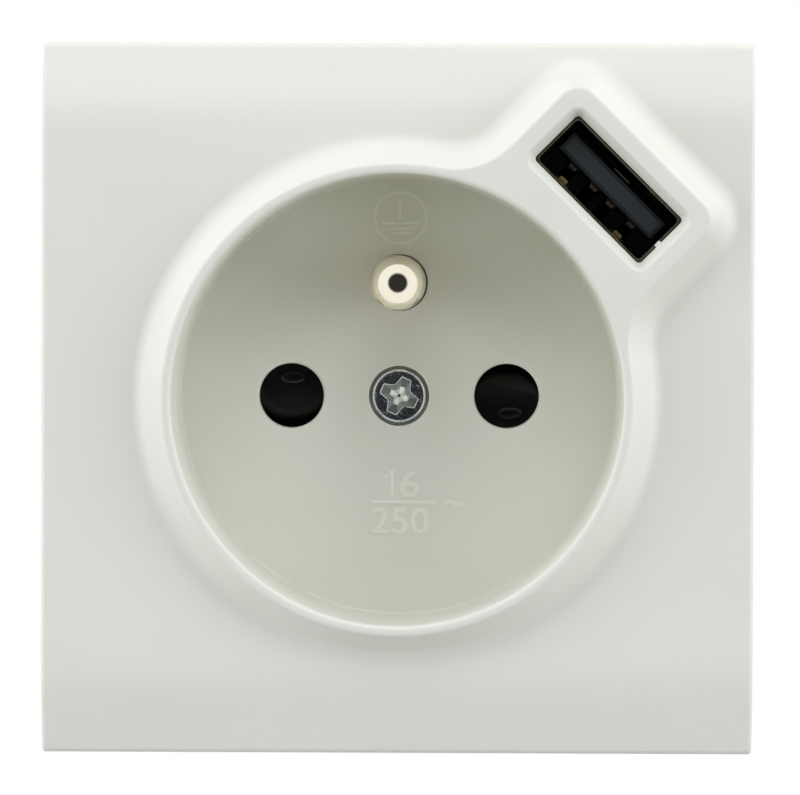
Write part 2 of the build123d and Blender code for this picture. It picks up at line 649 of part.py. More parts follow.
def usb_shell():
    outside = RectangleRounded(USB_SHELL_H, USB_SHELL_W, SHELL_CORNER)
    inside = RectangleRounded(USB_SHELL_H - 2 * SHELL_T, USB_SHELL_W - 2 * SHELL_T, SHELL_CORNER - SHELL_T)
    shell = slab(Pos(USB_MIDDLE, 0) * (outside - inside), USB_FRONT, USB_BACK)
    notch = (USB_MIDDLE - SHELL_NOTCH_W / 2, USB_MIDDLE + SHELL_NOTCH_W / 2)
    shell -= brick(notch, (USB_FRONT, USB_FRONT + SHELL_NOTCH_DEPTH), (-USB_SHELL_W, USB_SHELL_W))
    finger_y = (USB_FRONT + FINGER_START, USB_FRONT + FINGER_START + FINGER_L)
    for across in (-FINGER_AT, FINGER_AT):
        half = FINGER_W / 2 + SNUG
        shell -= brick((BOARD_OUTER, USB_TOP), finger_y, (across - half, across + half))
        shell += [shell_finger(-1, across), shell_finger(1, across)]
    middle_half = USB_SHELL_H / 2 - SHELL_CORNER
    legs = [leg & brick((0, USB_MIDDLE + middle_half), (USB_FRONT, USB_BACK), (-USB_SHELL_W, USB_SHELL_W))
            for leg in shell_legs()]
    return to_lobe(shell + legs)


def tongue_faces():
    """Low and high faces of the insulator's tongue along the lobe's diagonal."""
    middle = USB_MIDDLE + TONGUE_LIFT
    return middle - TONGUE_T / 2, middle + TONGUE_T / 2


def usb_insulator():
    low, high = tongue_faces()
    fit_h = USB_SHELL_H - 2 * SHELL_T - 2 * SLIP
    fit_w = USB_SHELL_W - 2 * SHELL_T - 2 * SLIP
    block_y = USB_BACK - INSULATOR_BLOCK
    block = slab(Pos(USB_MIDDLE, 0) * RectangleRounded(fit_h, fit_w, SHELL_CORNER), block_y, USB_BACK)
    tongue = brick((low, high), (USB_FRONT + TONGUE_SINK, block_y), (-TONGUE_W / 2, TONGUE_W / 2))
    tip = tongue.edges().filter_by(Axis.Z).group_by(Axis.Y)[0]
    piece = chamfer(tip, TONGUE_T / 5) + block
    for across in USB_PITCHES:
        half = CONTACT_W / 2 + SLIP
        bottom = USB_MIDDLE - USB_SHELL_H / 2
        piece -= brick((bottom, low), (block_y, USB_BACK), (across - half, across + half))
    return to_lobe(piece)


def usb_contacts():
    """Four strips under the tongue that bend down to the board behind the shell."""
    low = tongue_faces()[0]
    top = (low - CONTACT_T, low)
    start = USB_FRONT + TONGUE_SINK + CONTACT_SINK
    back = USB_BACK + LOOSE
    strips = []
    for across in USB_PITCHES:
        width = (across - CONTACT_W / 2, across + CONTACT_W / 2)
        strip = brick(top, (start, back + CONTACT_T), width)
        strips.append(to_lobe(strip + brick((BOARD_OUTER, low), (back, back + CONTACT_T), width)))
    return Compound(strips)


def on_inner_face(piece, back, across):
    """Put a piece drawn standing on X = 0, rising along X, on the board's inner face."""
    return to_lobe(Pos(BOARD_INNER, BASE_BACK + back, across) * mirror(piece, about=Plane.YZ))


def on_outer_face(piece, back, across):
    """Put a piece drawn standing on X = 0, rising along X, on the board's outer face."""
    return to_lobe(Pos(BOARD_OUTER, BASE_BACK + back, across) * piece)


def transformer_core():
    """Ferrite frame with a middle limb, lifted by the winding's thickness."""
    plan = Rectangle(CORE_L, CORE_W)
    window_at = CORE_LIMB / 2 + CORE_WINDOW_W / 2
    for across in (-window_at, window_at):
        plan -= Pos(0, across) * Rectangle(CORE_WINDOW_L, CORE_WINDOW_W)
    core = extrude(Plane.YZ.offset(WINDING_T + SNUG) * plan, amount=CORE_T)
    return on_inner_face(core, TRANSFORMER_BACK, TRANSFORMER_ACROSS)


def transformer_winding():
    inside = Rectangle(CORE_T + 2 * SNUG, CORE_LIMB + 2 * SNUG)
    height = CORE_T + 2 * SNUG + 2 * WINDING_T
    width = CORE_LIMB + 2 * SNUG + 2 * (CORE_WINDOW_W - 2 * SNUG)
    ring = RectangleRounded(height, width, WINDING_T / 2) - inside
    half = CORE_WINDOW_L / 2 - SNUG
    winding = Pos(height / 2, 0, 0) * slab(ring, -half, half)
    return on_inner_face(winding, TRANSFORMER_BACK, TRANSFORMER_ACROSS)


def capacitor(radius, height):
    return extrude(Plane.YZ * Circle(radius), amount=height)


def gull_package(width, length, thickness, legs, pitch):
    """Flat package standing on X = 0 with a row of legs along each long side."""
    leg_l, leg_w, leg_t = CHIP_LEG
    body = brick((0, thickness), (-length / 2, length / 2), (-width / 2, width / 2))
    body = chamfer(body.faces().sort_by(Axis.X)[-1].edges(), thickness / 6)
    for i in range(legs):
        y = (i - (legs - 1) / 2) * pitch
        reach = width / 2 + leg_l
        body += brick((0, leg_t), (y - leg_w / 2, y + leg_w / 2), (-reach, reach))
    return body


def lead_start(side):
    """Where a lead leaves its clip, along and across the lobe's diagonal. Side 1 is live, -1 neutral."""
    return side * PIN_X * cos(LOBE_TURN), -side * PIN_X * sin(LOBE_TURN)


def solder_lug(side):
    """Lug that stands up from a clip's back, square to its lead."""
    along, across = lead_start(side)
    rise = (CLIP_BACK - STRIP_T, CLIP_BACK + LEAD_LIFT + LEAD_R)
    return to_lobe(brick((along - STRIP_T, along), rise, (across - LUG_W / 2, across + LUG_W / 2)))


def board_lead(side):
    """Straight wire from a clip's lug to the board, behind everything else."""
    along, across = lead_start(side)
    wire = cross_rod(LEAD_R, along, BOARD_INNER, CLIP_BACK + LEAD_LIFT, across)
    return to_lobe(wire)


def build_nodes():
    """Every separate piece of the socket, by name."""
    return {
        "front_cover": front_cover(),
        "cover_screw": cover_screw(),
        "mounting_strap": mounting_strap(),
        "socket_base": socket_base(),
        "rear_housing": rear_housing(),
        "shutter": shutter(),
        "shutter_spring": shutter_spring(),
        "earth_pin": earth_pin(),
        "earth_bridge": earth_bridge(),
        "live_contact": pin_clip() + solder_lug(1),
        "neutral_contact": to_neutral(pin_clip()) + solder_lug(-1),
        "live_terminal": terminal_block(),
        "neutral_terminal": to_neutral(terminal_block()),
        "earth_terminal": to_earth(terminal_block()),
        "live_terminal_screw": clamp_screw(),
        "neutral_terminal_screw": to_neutral(clamp_screw()),
        "earth_terminal_screw": to_earth(clamp_screw()),
        "usb_board": usb_board(),
        "usb_shell": usb_shell(),
        "usb_insulator": usb_insulator(),
        "usb_contacts": usb_contacts(),
        "transformer_core": transformer_core(),
        "transformer_winding": transformer_winding(),
        "input_capacitor": on_inner_face(capacitor(INPUT_CAN_R, INPUT_CAN_H), INPUT_CAN_BACK, CAN_ACROSS),
        "output_capacitor": on_inner_face(capacitor(OUTPUT_CAN_R, OUTPUT_CAN_H), OUTPUT_CAN_BACK, CAN_ACROSS),
        "controller_chip": on_outer_face(
            gull_package(CHIP_W, CHIP_L, CHIP_T, CHIP_LEGS, CHIP_LEG_PITCH), CHIPS_BACK, CHIP_AT
        ),
        "rectifier": on_outer_face(
            gull_package(RECTIFIER_W, RECTIFIER_W, RECTIFIER_T, RECTIFIER_LEGS, RECTIFIER_LEG_PITCH),
            CHIPS_BACK, RECTIFIER_AT,
        ),
        "fuse_resistor": on_outer_face(capacitor(FUSE_R, FUSE_H), FUSE_BACK, 0),
        "live_lead": board_lead(1),
        "neutral_lead": board_lead(-1),
    }


os.makedirs("parts", exist_ok=True)
for name, piece in build_nodes().items():
    export_step(piece, f"parts/{name}.step")
print(f"plate {PLATE:.2f} mm square, {HOUSING_BACK - RIM_Y:.2f} mm from rim to rear wall")
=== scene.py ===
# %% [markdown]
# # A flush wall socket with a USB outlet
# The socket is a white moulded cover on a grey insulating body. The cover has a round well for the plug,
# a raised collar with a hollow foot, and a lobe in the upper right corner that holds a USB outlet.
# The construction model gives every piece its size and place. This lesson gives the pieces their looks:
# it rebuilds those whose edges and curves the eye rests on, and finishes the rest with materials.

# %% Load the frame
from math import atan2, copysign, cos, degrees, hypot, radians, sin, sqrt, tan

import bmesh
import bpy
from mathutils import Matrix, Quaternion, Vector


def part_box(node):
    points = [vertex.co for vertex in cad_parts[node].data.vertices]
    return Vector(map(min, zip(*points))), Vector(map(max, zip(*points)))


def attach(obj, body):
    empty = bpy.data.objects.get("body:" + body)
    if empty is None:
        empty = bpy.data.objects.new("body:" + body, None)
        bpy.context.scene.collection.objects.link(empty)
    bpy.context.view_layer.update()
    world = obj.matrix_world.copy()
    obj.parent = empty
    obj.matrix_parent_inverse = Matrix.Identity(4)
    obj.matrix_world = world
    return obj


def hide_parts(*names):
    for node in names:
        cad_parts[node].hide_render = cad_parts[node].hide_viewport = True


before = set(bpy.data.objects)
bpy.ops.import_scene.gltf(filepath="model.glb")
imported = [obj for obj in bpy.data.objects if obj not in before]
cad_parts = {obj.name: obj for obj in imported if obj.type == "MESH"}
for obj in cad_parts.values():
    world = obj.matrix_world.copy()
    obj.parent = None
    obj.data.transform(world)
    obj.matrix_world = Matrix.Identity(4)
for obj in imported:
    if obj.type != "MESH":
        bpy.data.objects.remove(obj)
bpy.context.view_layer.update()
MM = 0.001
scene = bpy.context.scene
print("nodes in the frame:", len(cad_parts))

# %% [markdown]
# ## Tools for materials
# Colours are written as sRGB hex values, the way a colour picker shows them. Shader sockets take linear
# light, so one function converts them. A second function adds a node, sets its values and links it.
# Pattern sizes are real millimetres: a noise texture's scale is the number of features in a metre.


# %% Colour and node helpers
def linear(code):
    """Linear RGBA of an sRGB hex colour."""
    parts = [int(code[i:i + 2], 16) / 255 for i in (0, 2, 4)]
    return [p / 12.92 if p <= 0.04045 else ((p + 0.055) / 1.055) ** 2.4 for p in parts] + [1.0]


def add_node(tree, kind, inputs=None, **settings):
    """Add a node. An input is a value, or the output socket of another node."""
    made = tree.nodes.new(kind)
    for name, value in settings.items():
        setattr(made, name, value)
    for name, value in (inputs or {}).items():
        if isinstance(value, bpy.types.NodeSocket):
            tree.links.new(value, made.inputs[name])
        else:
            made.inputs[name].default_value = value
    return made


def features_of(size_mm):
    """Noise scale whose features are about size_mm across."""
    return 1 / (size_mm * MM)


def new_material(name):
    """An empty node material with its surface shader, its output and Object coordinates."""
    material = bpy.data.materials.new(name)
    material.use_nodes = True
    tree = material.node_tree
    tree.nodes.clear()
    shader = add_node(tree, "ShaderNodeBsdfPrincipled")
    add_node(tree, "ShaderNodeOutputMaterial", {"Surface": shader.outputs["BSDF"]})
    place = add_node(tree, "ShaderNodeTexCoord").outputs["Object"]
    return material, tree, shader, place


print("mid grey as linear light:", round(linear("808080")[0], 3))

# %% [markdown]
# ## How a moulded plastic looks
# A moulding is never one flat colour. Its pigment drifts a little, and the eroded steel of the tool leaves
# a fine grain that breaks up the highlights. An image could hold both, but it would have to be unwrapped
# for every piece. Noise on Object coordinates sits on any piece as it is. The real grain measures a few
# hundredths of a millimetre and would not show, so it is drawn as coarse as it needs to show.

# %% Plastic
PLASTIC_CLOUD_MM, GLOSS_DRIFT = 9, 0.03
PLASTIC_DARKEST, PLASTIC_LIGHTEST = 0.3, 0.7


def plastic(name, light, dark, roughness, grain_mm, bump_mm, ior=1.5):
    """Moulded plastic: two close shades in large soft clouds, and a fine eroded grain."""
    material, tree, shader, place = new_material(name)
    clouds = add_node(
        tree, "ShaderNodeTexNoise", {"Vector": place, "Scale": features_of(PLASTIC_CLOUD_MM), "Detail": 3.0}
    )
    shade = add_node(tree, "ShaderNodeValToRGB", {"Fac": clouds.outputs["Fac"]})
    first, last = shade.color_ramp.elements
    first.position, last.position = PLASTIC_DARKEST, PLASTIC_LIGHTEST
    first.color, last.color = linear(dark), linear(light)
    grain = add_node(
        tree, "ShaderNodeTexNoise", {"Vector": place, "Scale": features_of(grain_mm), "Detail": 2.0}
    )
    bump = add_node(
        tree, "ShaderNodeBump",
        {"Height": grain.outputs["Fac"], "Distance": bump_mm * MM, "Strength": 1.0},
    )
    gloss = add_node(
        tree, "ShaderNodeMapRange",
        {"Value": clouds.outputs["Fac"], "To Min": roughness - GLOSS_DRIFT,
         "To Max": roughness + GLOSS_DRIFT},
    )
    tree.links.new(shade.outputs["Color"], shader.inputs["Base Color"])
    tree.links.new(gloss.outputs["Result"], shader.inputs["Roughness"])
    tree.links.new(bump.outputs["Normal"], shader.inputs["Normal"])
    shader.inputs["IOR"].default_value = ior
    return material


# %% [markdown]
# ## How a worked metal looks
# Plating follows the marks of the tool that lie below it, and handling adds small dents. Three noises
# share the work. The first clouds the colour, the second gives the marks, which a Mapping node can draw
# out along one direction, and the third cuts dents where it peaks. The marks would be too fine to show
# at their real size, so they too are drawn as coarse as they need to show.

# %% Metal
METAL_CLOUD_MM, DENT_EVERY_MM = 1.6, 0.4
METAL_DARKEST, METAL_LIGHTEST = 0.35, 0.65
DENT_STARTS, DENT_DEEPEST = 0.58, 0.68
POLISHED = 0.7


def metal(name, light, dark, roughness, grain_mm, bump_mm, stretch=(1, 1, 1), dent_mm=0.0, dull=1.3):
    """Metal with a faint cloud of tarnish, fine marks and sparse dents. dull is how far marks roughen it."""
    material, tree, shader, place = new_material(name)
    clouds = add_node(
        tree, "ShaderNodeTexNoise", {"Vector": place, "Scale": features_of(METAL_CLOUD_MM), "Detail": 4.0}
    )
    shade = add_node(tree, "ShaderNodeValToRGB", {"Fac": clouds.outputs["Fac"]})
    first, last = shade.color_ramp.elements
    first.position, last.position = METAL_DARKEST, METAL_LIGHTEST
    first.color, last.color = linear(dark), linear(light)
    drawn = add_node(tree, "ShaderNodeMapping", {"Vector": place, "Scale": stretch})
    marks = add_node(
        tree, "ShaderNodeTexNoise",
        {"Vector": drawn.outputs["Vector"], "Scale": features_of(grain_mm), "Detail": 3.0},
    )
    gloss = add_node(
        tree, "ShaderNodeMapRange",
        {"Value": marks.outputs["Fac"], "To Min": roughness * POLISHED, "To Max": roughness * dull},
    )
    spots = add_node(
        tree, "ShaderNodeTexNoise", {"Vector": place, "Scale": features_of(DENT_EVERY_MM), "Detail": 1.0}
    )
    dents = add_node(
        tree, "ShaderNodeMapRange",
        {"Value": spots.outputs["Fac"], "From Min": DENT_STARTS, "From Max": DENT_DEEPEST,
         "To Max": dent_mm / bump_mm},
    )
    height = add_node(
        tree, "ShaderNodeMath", {0: marks.outputs["Fac"], 1: dents.outputs["Result"]}, operation="SUBTRACT"
    )
    bump = add_node(
        tree, "ShaderNodeBump",
        {"Height": height.outputs["Value"], "Distance": bump_mm * MM, "Strength": 1.0},
    )
    tree.links.new(shade.outputs["Color"], shader.inputs["Base Color"])
    tree.links.new(gloss.outputs["Result"], shader.inputs["Roughness"])
    tree.links.new(bump.outputs["Normal"], shader.inputs["Normal"])
    shader.inputs["Metallic"].default_value = 1.0
    return material


# %% [markdown]
# ## The materials
# Each is named for what the real piece is made of and how its surface was made, and a few also for the shade
# or highlight painted into their colour. The roughness starts from what is typical of that material, and then
# it and the two shades are matched to the socket.

# %% Plastics of the front
# Satin from its eroded tool: broad soft highlights and no mirror images.
satin_white = plastic(
    "white polycarbonate, satin moulded", "E9E9DD", "E7E7DA", roughness=0.38, grain_mm=0.35, bump_mm=0.0012
)
# The marks are a paler white than the floor, so that they read a little lighter.
pale_white = plastic(
    "white polycarbonate, raised mark", "F4F4E8", "F2F2E5", roughness=0.34, grain_mm=0.35, bump_mm=0.0012
)
# A deep even black with a faint sheen on its edges.
black_shutter = plastic(
    "black polyamide, moulded shutter", "090909", "070707", roughness=0.28, grain_mm=0.3, bump_mm=0.0015
)
# Slate grey against the black room behind it, and too dull for a highlight.
dark_tongue = plastic(
    "black polyester, moulded tongue", "343C3E", "2D3436", roughness=0.4, grain_mm=0.25, bump_mm=0.001
)
print("plastics of the front:", len(bpy.data.materials))

# %% Plastics behind the cover
# Matt with a visible grain, as glass-filled mouldings are.
grey_body = plastic(
    "grey polyamide, moulded body", "B4B6B6", "A9ABAC", roughness=0.48, grain_mm=0.4, bump_mm=0.004
)
# A glossy coat over a faint weave.
board_laminate = plastic(
    "glass laminate, green solder mask", "1F5A35", "184C2C", roughness=0.3, grain_mm=0.5, bump_mm=0.002
)
# Dull black, a little greyer than the shutter.
black_epoxy = plastic(
    "black epoxy, moulded package", "17171A", "121214", roughness=0.5, grain_mm=0.3, bump_mm=0.003
)
# Smooth film, so it shines in strips.
tape_yellow = plastic(
    "polyester tape, yellow winding", "D8A62C", "C8951F", roughness=0.32, grain_mm=0.6, bump_mm=0.003
)
# Tight glossy film.
can_sleeve = plastic(
    "shrunk sleeve, dark blue can", "1E2740", "182036", roughness=0.3, grain_mm=0.5, bump_mm=0.002
)
# Both wires have the soft waxy shine of vinyl.
brown_insulation = plastic(
    "brown vinyl, wire insulation", "5A3420", "4D2B1A", roughness=0.42, grain_mm=0.4, bump_mm=0.002
)
blue_insulation = plastic(
    "blue vinyl, wire insulation", "2A52A0", "234790", roughness=0.42, grain_mm=0.4, bump_mm=0.002
)
# A sintered ceramic, not a plastic, but as matt and dark as one.
ferrite = plastic("ferrite, ground", "2B2B2E", "222225", roughness=0.6, grain_mm=0.2, bump_mm=0.004)
print("materials so far:", len(bpy.data.materials))

# %% Metals of the front
# A clear mirror with a warm tint.
bright_nickel = metal(
    "bright nickel, turned pin", "F6F0DF", "F1E9D6", roughness=0.08, grain_mm=0.4, bump_mm=0.0001
)
# A cool mirror, broken up by dull spots and small dents that sparkle.
zinc = metal(
    "zinc plate, blue passivated", "CDD3D8", "AEB6BC", roughness=0.18, grain_mm=0.2, bump_mm=0.0016,
    dent_mm=0.016, dull=2.1,
)
# Where drivers turn, the same plate is matt, and its darker grey is painted shade for the floors of the
# recess.
scuffed_zinc_painted_shade = metal(
    "zinc plate, scuffed, with painted shade", "B6BCB8", "999F9B", roughness=0.42, grain_mm=0.15, bump_mm=0.004
)
# The star at the bottom of the recess is matt from the punch, and painted paler than the plate as a
# highlight.
star_zinc_painted_highlight = metal(
    "zinc plate, punched star with painted highlight", "F4F6F3", "E8ECE8", roughness=0.34, grain_mm=0.15, bump_mm=0.004
)
# Dull and brownish, with streaks along the draw.
tin_plate = metal(
    "tin-plated steel, drawn shell", "8E866F", "746C56", roughness=0.42, grain_mm=0.3, bump_mm=0.001,
    stretch=(1, 0.2, 1),
)
# A warm dull gold in the dark of the outlet.
copper_alloy = metal(
    "copper alloy, spring finger", "A08A5C", "7C6A44", roughness=0.5, grain_mm=0.2, bump_mm=0.0008
)
# Both are painted darker than their metal as shade deep in the outlet: grey on the tips, darker on the
# strips.
contact_nickel_painted_shade = metal(
    "nickel-plated bronze, contact tip in painted shade", "5E5B54", "4B4944", roughness=0.4, grain_mm=0.2, bump_mm=0.0005
)
bronze_painted_shade = metal(
    "bronze contact strip in painted shade", "3F3C36", "302D29", roughness=0.45, grain_mm=0.2, bump_mm=0.0005
)
print("materials so far:", len(bpy.data.materials))

# %% Metals behind the cover
# Pale grey with fine streaks across the strip.
galvanised = metal(
    "galvanised steel, stamped strap", "BFC3C6", "A5AAAE", roughness=0.36, grain_mm=0.8, bump_mm=0.002,
    stretch=(1, 1, 6),
)
# Yellow and half bright.
brass = metal("brass, stamped", "C9A35A", "B38B44", roughness=0.3, grain_mm=0.5, bump_mm=0.0015)
# Bright hard strip that catches a clear line of light.
spring_steel = metal(
    "spring steel, bright strip", "D2D4D2", "BFC1BF", roughness=0.25, grain_mm=0.4, bump_mm=0.001
)
print("materials:", len(bpy.data.materials))

# %% [markdown]
# ## Tools for meshes
# Nearly every shape here is a closed loop of edges that is extruded again and again, each time a little
# further out and deeper, like the contour lines of a map. A loop is walked into order once. Then a copy
# is extruded, and each point moves along its own outward direction in the plane of the wall.
# A flat face with holes in it is then filled between its loops with triangles.


# %% Walk round a loop
def in_order(start):
    """Walk a closed loop of wire edges from one vertex and list its vertices."""
    loop, edge = [start], start.link_edges[0]
    while True:
        vert = edge.other_vert(loop[-1])
        if vert is start:
            return loop
        loop.append(vert)
        edge = next(e for e in vert.link_edges if e is not edge and e.is_wire)


def edges_of(bm, loop):
    """Edges between neighbours of a closed loop."""
    return [bm.edges.get((a, b)) for a, b in zip(loop, loop[1:] + loop[:1])]


def outward(loop):
    """Direction of each vertex away from the inside of its loop, in the plane of the wall."""
    count = len(loop)
    sides = [loop[(i + 1) % count].co - loop[i - 1].co for i in range(count)]
    normals = [Vector((s.z, 0, -s.x)).normalized() for s in sides]
    middle = sum((v.co for v in loop), Vector()) / count
    turn = sum((v.co - middle).dot(n) for v, n in zip(loop, normals))
    return normals if turn > 0 else [-n for n in normals]


# %% Extrude a loop
def extruded(bm, loop):
    """Extrude a closed loop and give the new one in the same order."""
    made = bmesh.ops.extrude_edge_only(bm, edges=edges_of(bm, loop))["geom"]
    fresh = {g for g in made if isinstance(g, bmesh.types.BMVert)}
    return [next(e.other_vert(v) for e in v.link_edges if e.other_vert(v) in fresh) for v in loop]


def sweep(bm, loop, steps):
    """Extrude a loop through steps of (millimetres outward from where it began, Y in millimetres)."""
    points, normals = [v.co.copy() for v in loop], outward(loop)
    for out, y in steps:
        loop = extruded(bm, loop)
        for vert, point, normal in zip(loop, points, normals):
            vert.co = point + normal * out * MM
            vert.co.y = y * MM
    return loop


def round_steps(radius, y, count=4):
    """Steps of a sweep inward over a rounded edge that starts at a depth y."""
    angles = [radians(90 * k / count) for k in range(1, count + 1)]
    return [(-radius * sin(a), y + radius * (1 - cos(a))) for a in angles]


# %% Draw and fill a loop
FACING_ROOM = Matrix.Rotation(radians(90), 4, "X")


def circle_loop(bm, radius, y, x=0.0, z=0.0, segments=96, squeeze=1.0):
    """Circle that faces the room, or an oval where its height is squeezed."""
    place = Matrix.Translation(Vector((x, y, z)) * MM) @ FACING_ROOM @ Matrix.Diagonal((1, squeeze, 1, 1))
    made = bmesh.ops.create_circle(bm, radius=radius * MM, segments=segments, matrix=place)
    return in_order(made["verts"][0])


def rectangle_loop(bm, width, height, corner, place, segments=6):
    """Rectangle with rounded corners that faces the room."""
    made = bmesh.ops.create_grid(bm, x_segments=1, y_segments=1, size=0.5 * MM)["verts"]
    bmesh.ops.scale(bm, vec=(width, height, 1), verts=made)
    made = bmesh.ops.bevel(
        bm, geom=made, offset=corner * MM, affect="VERTICES", segments=segments, profile=0.5, material=-1
    )["verts"]
    bmesh.ops.delete(bm, geom=list({f for v in made for f in v.link_faces}), context="FACES_ONLY")
    bmesh.ops.transform(bm, matrix=place @ FACING_ROOM, verts=made)
    return in_order(made[0])


def fill_between(bm, *loops):
    """Flat face between an outer loop and the loops inside it."""
    bmesh.ops.triangle_fill(bm, use_beauty=True, edges=[e for loop in loops for e in edges_of(bm, loop)])


# %% Close a piece
WELD = 1e-7


def piece_of(bm, name, material, body="socket", replaced=(), sharp=40):
    """Close a bmesh into a finished object that rides on a body."""
    bmesh.ops.remove_doubles(bm, verts=bm.verts, dist=WELD)
    bmesh.ops.recalc_face_normals(bm, faces=bm.faces)
    mesh = bpy.data.meshes.new(name)
    bm.to_mesh(mesh)
    bm.free()
    mesh.materials.append(material)
    mesh.shade_smooth()
    mesh.set_sharp_from_angle(angle=radians(sharp))
    piece = bpy.data.objects.new(name, mesh)
    scene.collection.objects.link(piece)
    even = piece.modifiers.new("even shading", "WEIGHTED_NORMAL")
    even.keep_sharp = True
    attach(piece, body)
    if replaced:
        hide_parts(*replaced)
    print(name, "faces:", len(mesh.polygons))
    return piece


# %% [markdown]
# ## The cover: outline of the collar
# Seen from the room, the collar is a circle with a square-ended lobe on the upper right diagonal. Large
# rounds lead from one into the other. Drawing half of it along the diagonal and mirroring it is enough.
# The spin operator turns a single vertex about a centre and leaves an arc behind it.

# %% Sizes of the cover
cover_low, cover_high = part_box("front_cover")
RIM_Y, SEAT_Y, PLATE_HALF = cover_low.y / MM, cover_high.y / MM, cover_high.x / MM
WELL_R, WELL_DEPTH, WELL_WALL = 19.25, 15.6, 1.45
COLLAR_R, COLLAR_RISE, COVE_R = 20.25, 2.8, 1.8
LOBE_REACH, LOBE_HALF, LOBE_CORNER, LOBE_BLEND = 30.41, 8.55, 1.8, 7.0
FACE_WALL, SKIRT_WALL, SKIRT_GAP = 2.0, 1.4, 0.2
BAND, BEND_R, BEND_ANGLE = 7.55, 10.6, radians(17)
RIM_ROUND, FLANK_TURN = 0.4, radians(57)
RIM_SET_IN = RIM_ROUND * tan(FLANK_TURN / 2)
FACE_Y = RIM_Y + COLLAR_RISE
FLOOR_Y = RIM_Y + WELL_DEPTH
FLAT_HALF = PLATE_HALF - BAND
print("rim at y", round(RIM_Y, 2), "floor at", round(FLOOR_Y, 2), "plate half", round(PLATE_HALF, 2))

# %% Draw the collar's outline
TO_LOBE = Matrix.Rotation(radians(-45), 4, "Y")
BACK_STEPS, SIDE_STEPS, BLEND_STEPS = 60, 36, 20
LOBE_SIDE_STEPS, LOBE_CORNER_STEPS, LOBE_END_STEPS = 8, 14, 10
MIRROR_WELD = 1e-6


def arc_on(bm, vert, centre, turn, steps):
    """Leave an arc behind a vertex that turns about a centre in the plane of the wall."""
    middle = Vector((centre[0], 0, centre[1])) * MM
    made = bmesh.ops.spin(
        bm, geom=[vert], cent=middle, axis=(0, 1, 0), angle=radians(turn), steps=steps, use_duplicate=False
    )
    return next(g for g in made["geom_last"] if isinstance(g, bmesh.types.BMVert))


def run_on(bm, vert, x, z, steps):
    """Leave a straight run of short edges behind a vertex."""
    start, end = vert.co.copy(), Vector((x * MM, vert.co.y, z * MM))
    for k in range(1, steps + 1):
        vert = bmesh.ops.extrude_vert_indiv(bm, verts=[vert])["verts"][0]
        vert.co = start.lerp(end, k / steps)
    return vert


def collar_loop(bm):
    """Closed outline of the collar at the rim."""
    blend_z = LOBE_HALF + LOBE_BLEND
    blend_x = sqrt((COLLAR_R + LOBE_BLEND) ** 2 - blend_z ** 2)
    blend_turn = degrees(atan2(blend_z, blend_x))
    tip_x, tip_z = LOBE_REACH - LOBE_CORNER, LOBE_HALF - LOBE_CORNER
    start = bm.verts.new(Vector((-COLLAR_R, RIM_Y, 0)) * MM)
    vert = arc_on(bm, start, (0, 0), 90, BACK_STEPS)
    vert = arc_on(bm, vert, (0, 0), 90 - blend_turn, SIDE_STEPS)
    vert = arc_on(bm, vert, (blend_x, blend_z), blend_turn - 90, BLEND_STEPS)
    vert = run_on(bm, vert, tip_x, LOBE_HALF, LOBE_SIDE_STEPS)
    vert = arc_on(bm, vert, (tip_x, tip_z), 90, LOBE_CORNER_STEPS)
    run_on(bm, vert, LOBE_REACH, 0, LOBE_END_STEPS)
    bmesh.ops.mirror(bm, geom=bm.verts[:] + bm.edges[:], matrix=Matrix(), merge_dist=MIRROR_WELD, axis="Z")
    bmesh.ops.transform(bm, matrix=TO_LOBE, verts=bm.verts)
    loop = in_order(start)
    for vert, normal in zip(loop, outward(loop)):
        vert.co -= normal * RIM_SET_IN * MM
    return loop


# %% [markdown]
# ## The cover: flank, bent plate and skirt
# From the rim the surface rolls over a small round, slopes down and runs out on the plate in a hollow
# foot. A slope like this lets the moulding leave its tool. The plate's top and bottom bands bend back, so
# its depth depends on the height. The foot stands on that depth, and so it follows the bend at the lobe's
# corner by itself. The last rings run along straight lines to a square, over the edge and down the skirt.


# %% Depth of the bent plate
def plate_y(z):
    """Depth of the plate's face, in millimetres, at a height in millimetres."""
    past = abs(z) - FLAT_HALF
    bend = BEND_R * sin(BEND_ANGLE)
    if past <= 0:
        return FACE_Y
    if past <= bend:
        return FACE_Y + BEND_R - sqrt(BEND_R ** 2 - past ** 2)
    return FACE_Y + BEND_R * (1 - cos(BEND_ANGLE)) + (past - bend) * tan(BEND_ANGLE)


print("bands fall back by", round(plate_y(PLATE_HALF) - FACE_Y, 2), "mm")

# %% Down the flank
FLANK_REACH = COLLAR_RISE / tan(FLANK_TURN) + COVE_R * tan(FLANK_TURN / 2)
RIM_RINGS, FOOT_RINGS = 5, 12


def flank_down(bm, rim):
    """Rings from the rim's outline over its rounded edge, down the flank and out of its hollow foot."""
    normals = outward(rim)
    points = [v.co + n * RIM_SET_IN * MM for v, n in zip(rim, normals)]
    turns = [FLANK_TURN * k / RIM_RINGS for k in range(1, RIM_RINGS + 1)]
    loop = sweep(bm, rim, [(RIM_ROUND * sin(a), RIM_Y + RIM_ROUND * (1 - cos(a))) for a in turns])
    for k in range(FOOT_RINGS + 1):
        turn = FLANK_TURN * (1 - k / FOOT_RINGS)
        loop = extruded(bm, loop)
        for vert, point, normal in zip(loop, points, normals):
            vert.co = point + normal * (FLANK_REACH - COVE_R * sin(turn)) * MM
            vert.co.y = (plate_y(vert.co.z / MM) - COVE_R * (1 - cos(turn))) * MM
    return loop


# %% Out to the square edge
PLATE_RINGS, EDGE_RINGS, EDGE_ROUND = 14, 4, 0.4
CORNER_SNAP, INNER_HALF = 0.1, 28.2


def square_end(point):
    """Where the line from the well's axis through a point meets a square of half side 1."""
    end = point / max(abs(point.x), abs(point.z))
    if 1 - min(abs(end.x), abs(end.z)) < CORNER_SNAP / PLATE_HALF:
        return Vector((copysign(1, end.x), 0, copysign(1, end.z)))
    return Vector((end.x, 0, end.z))


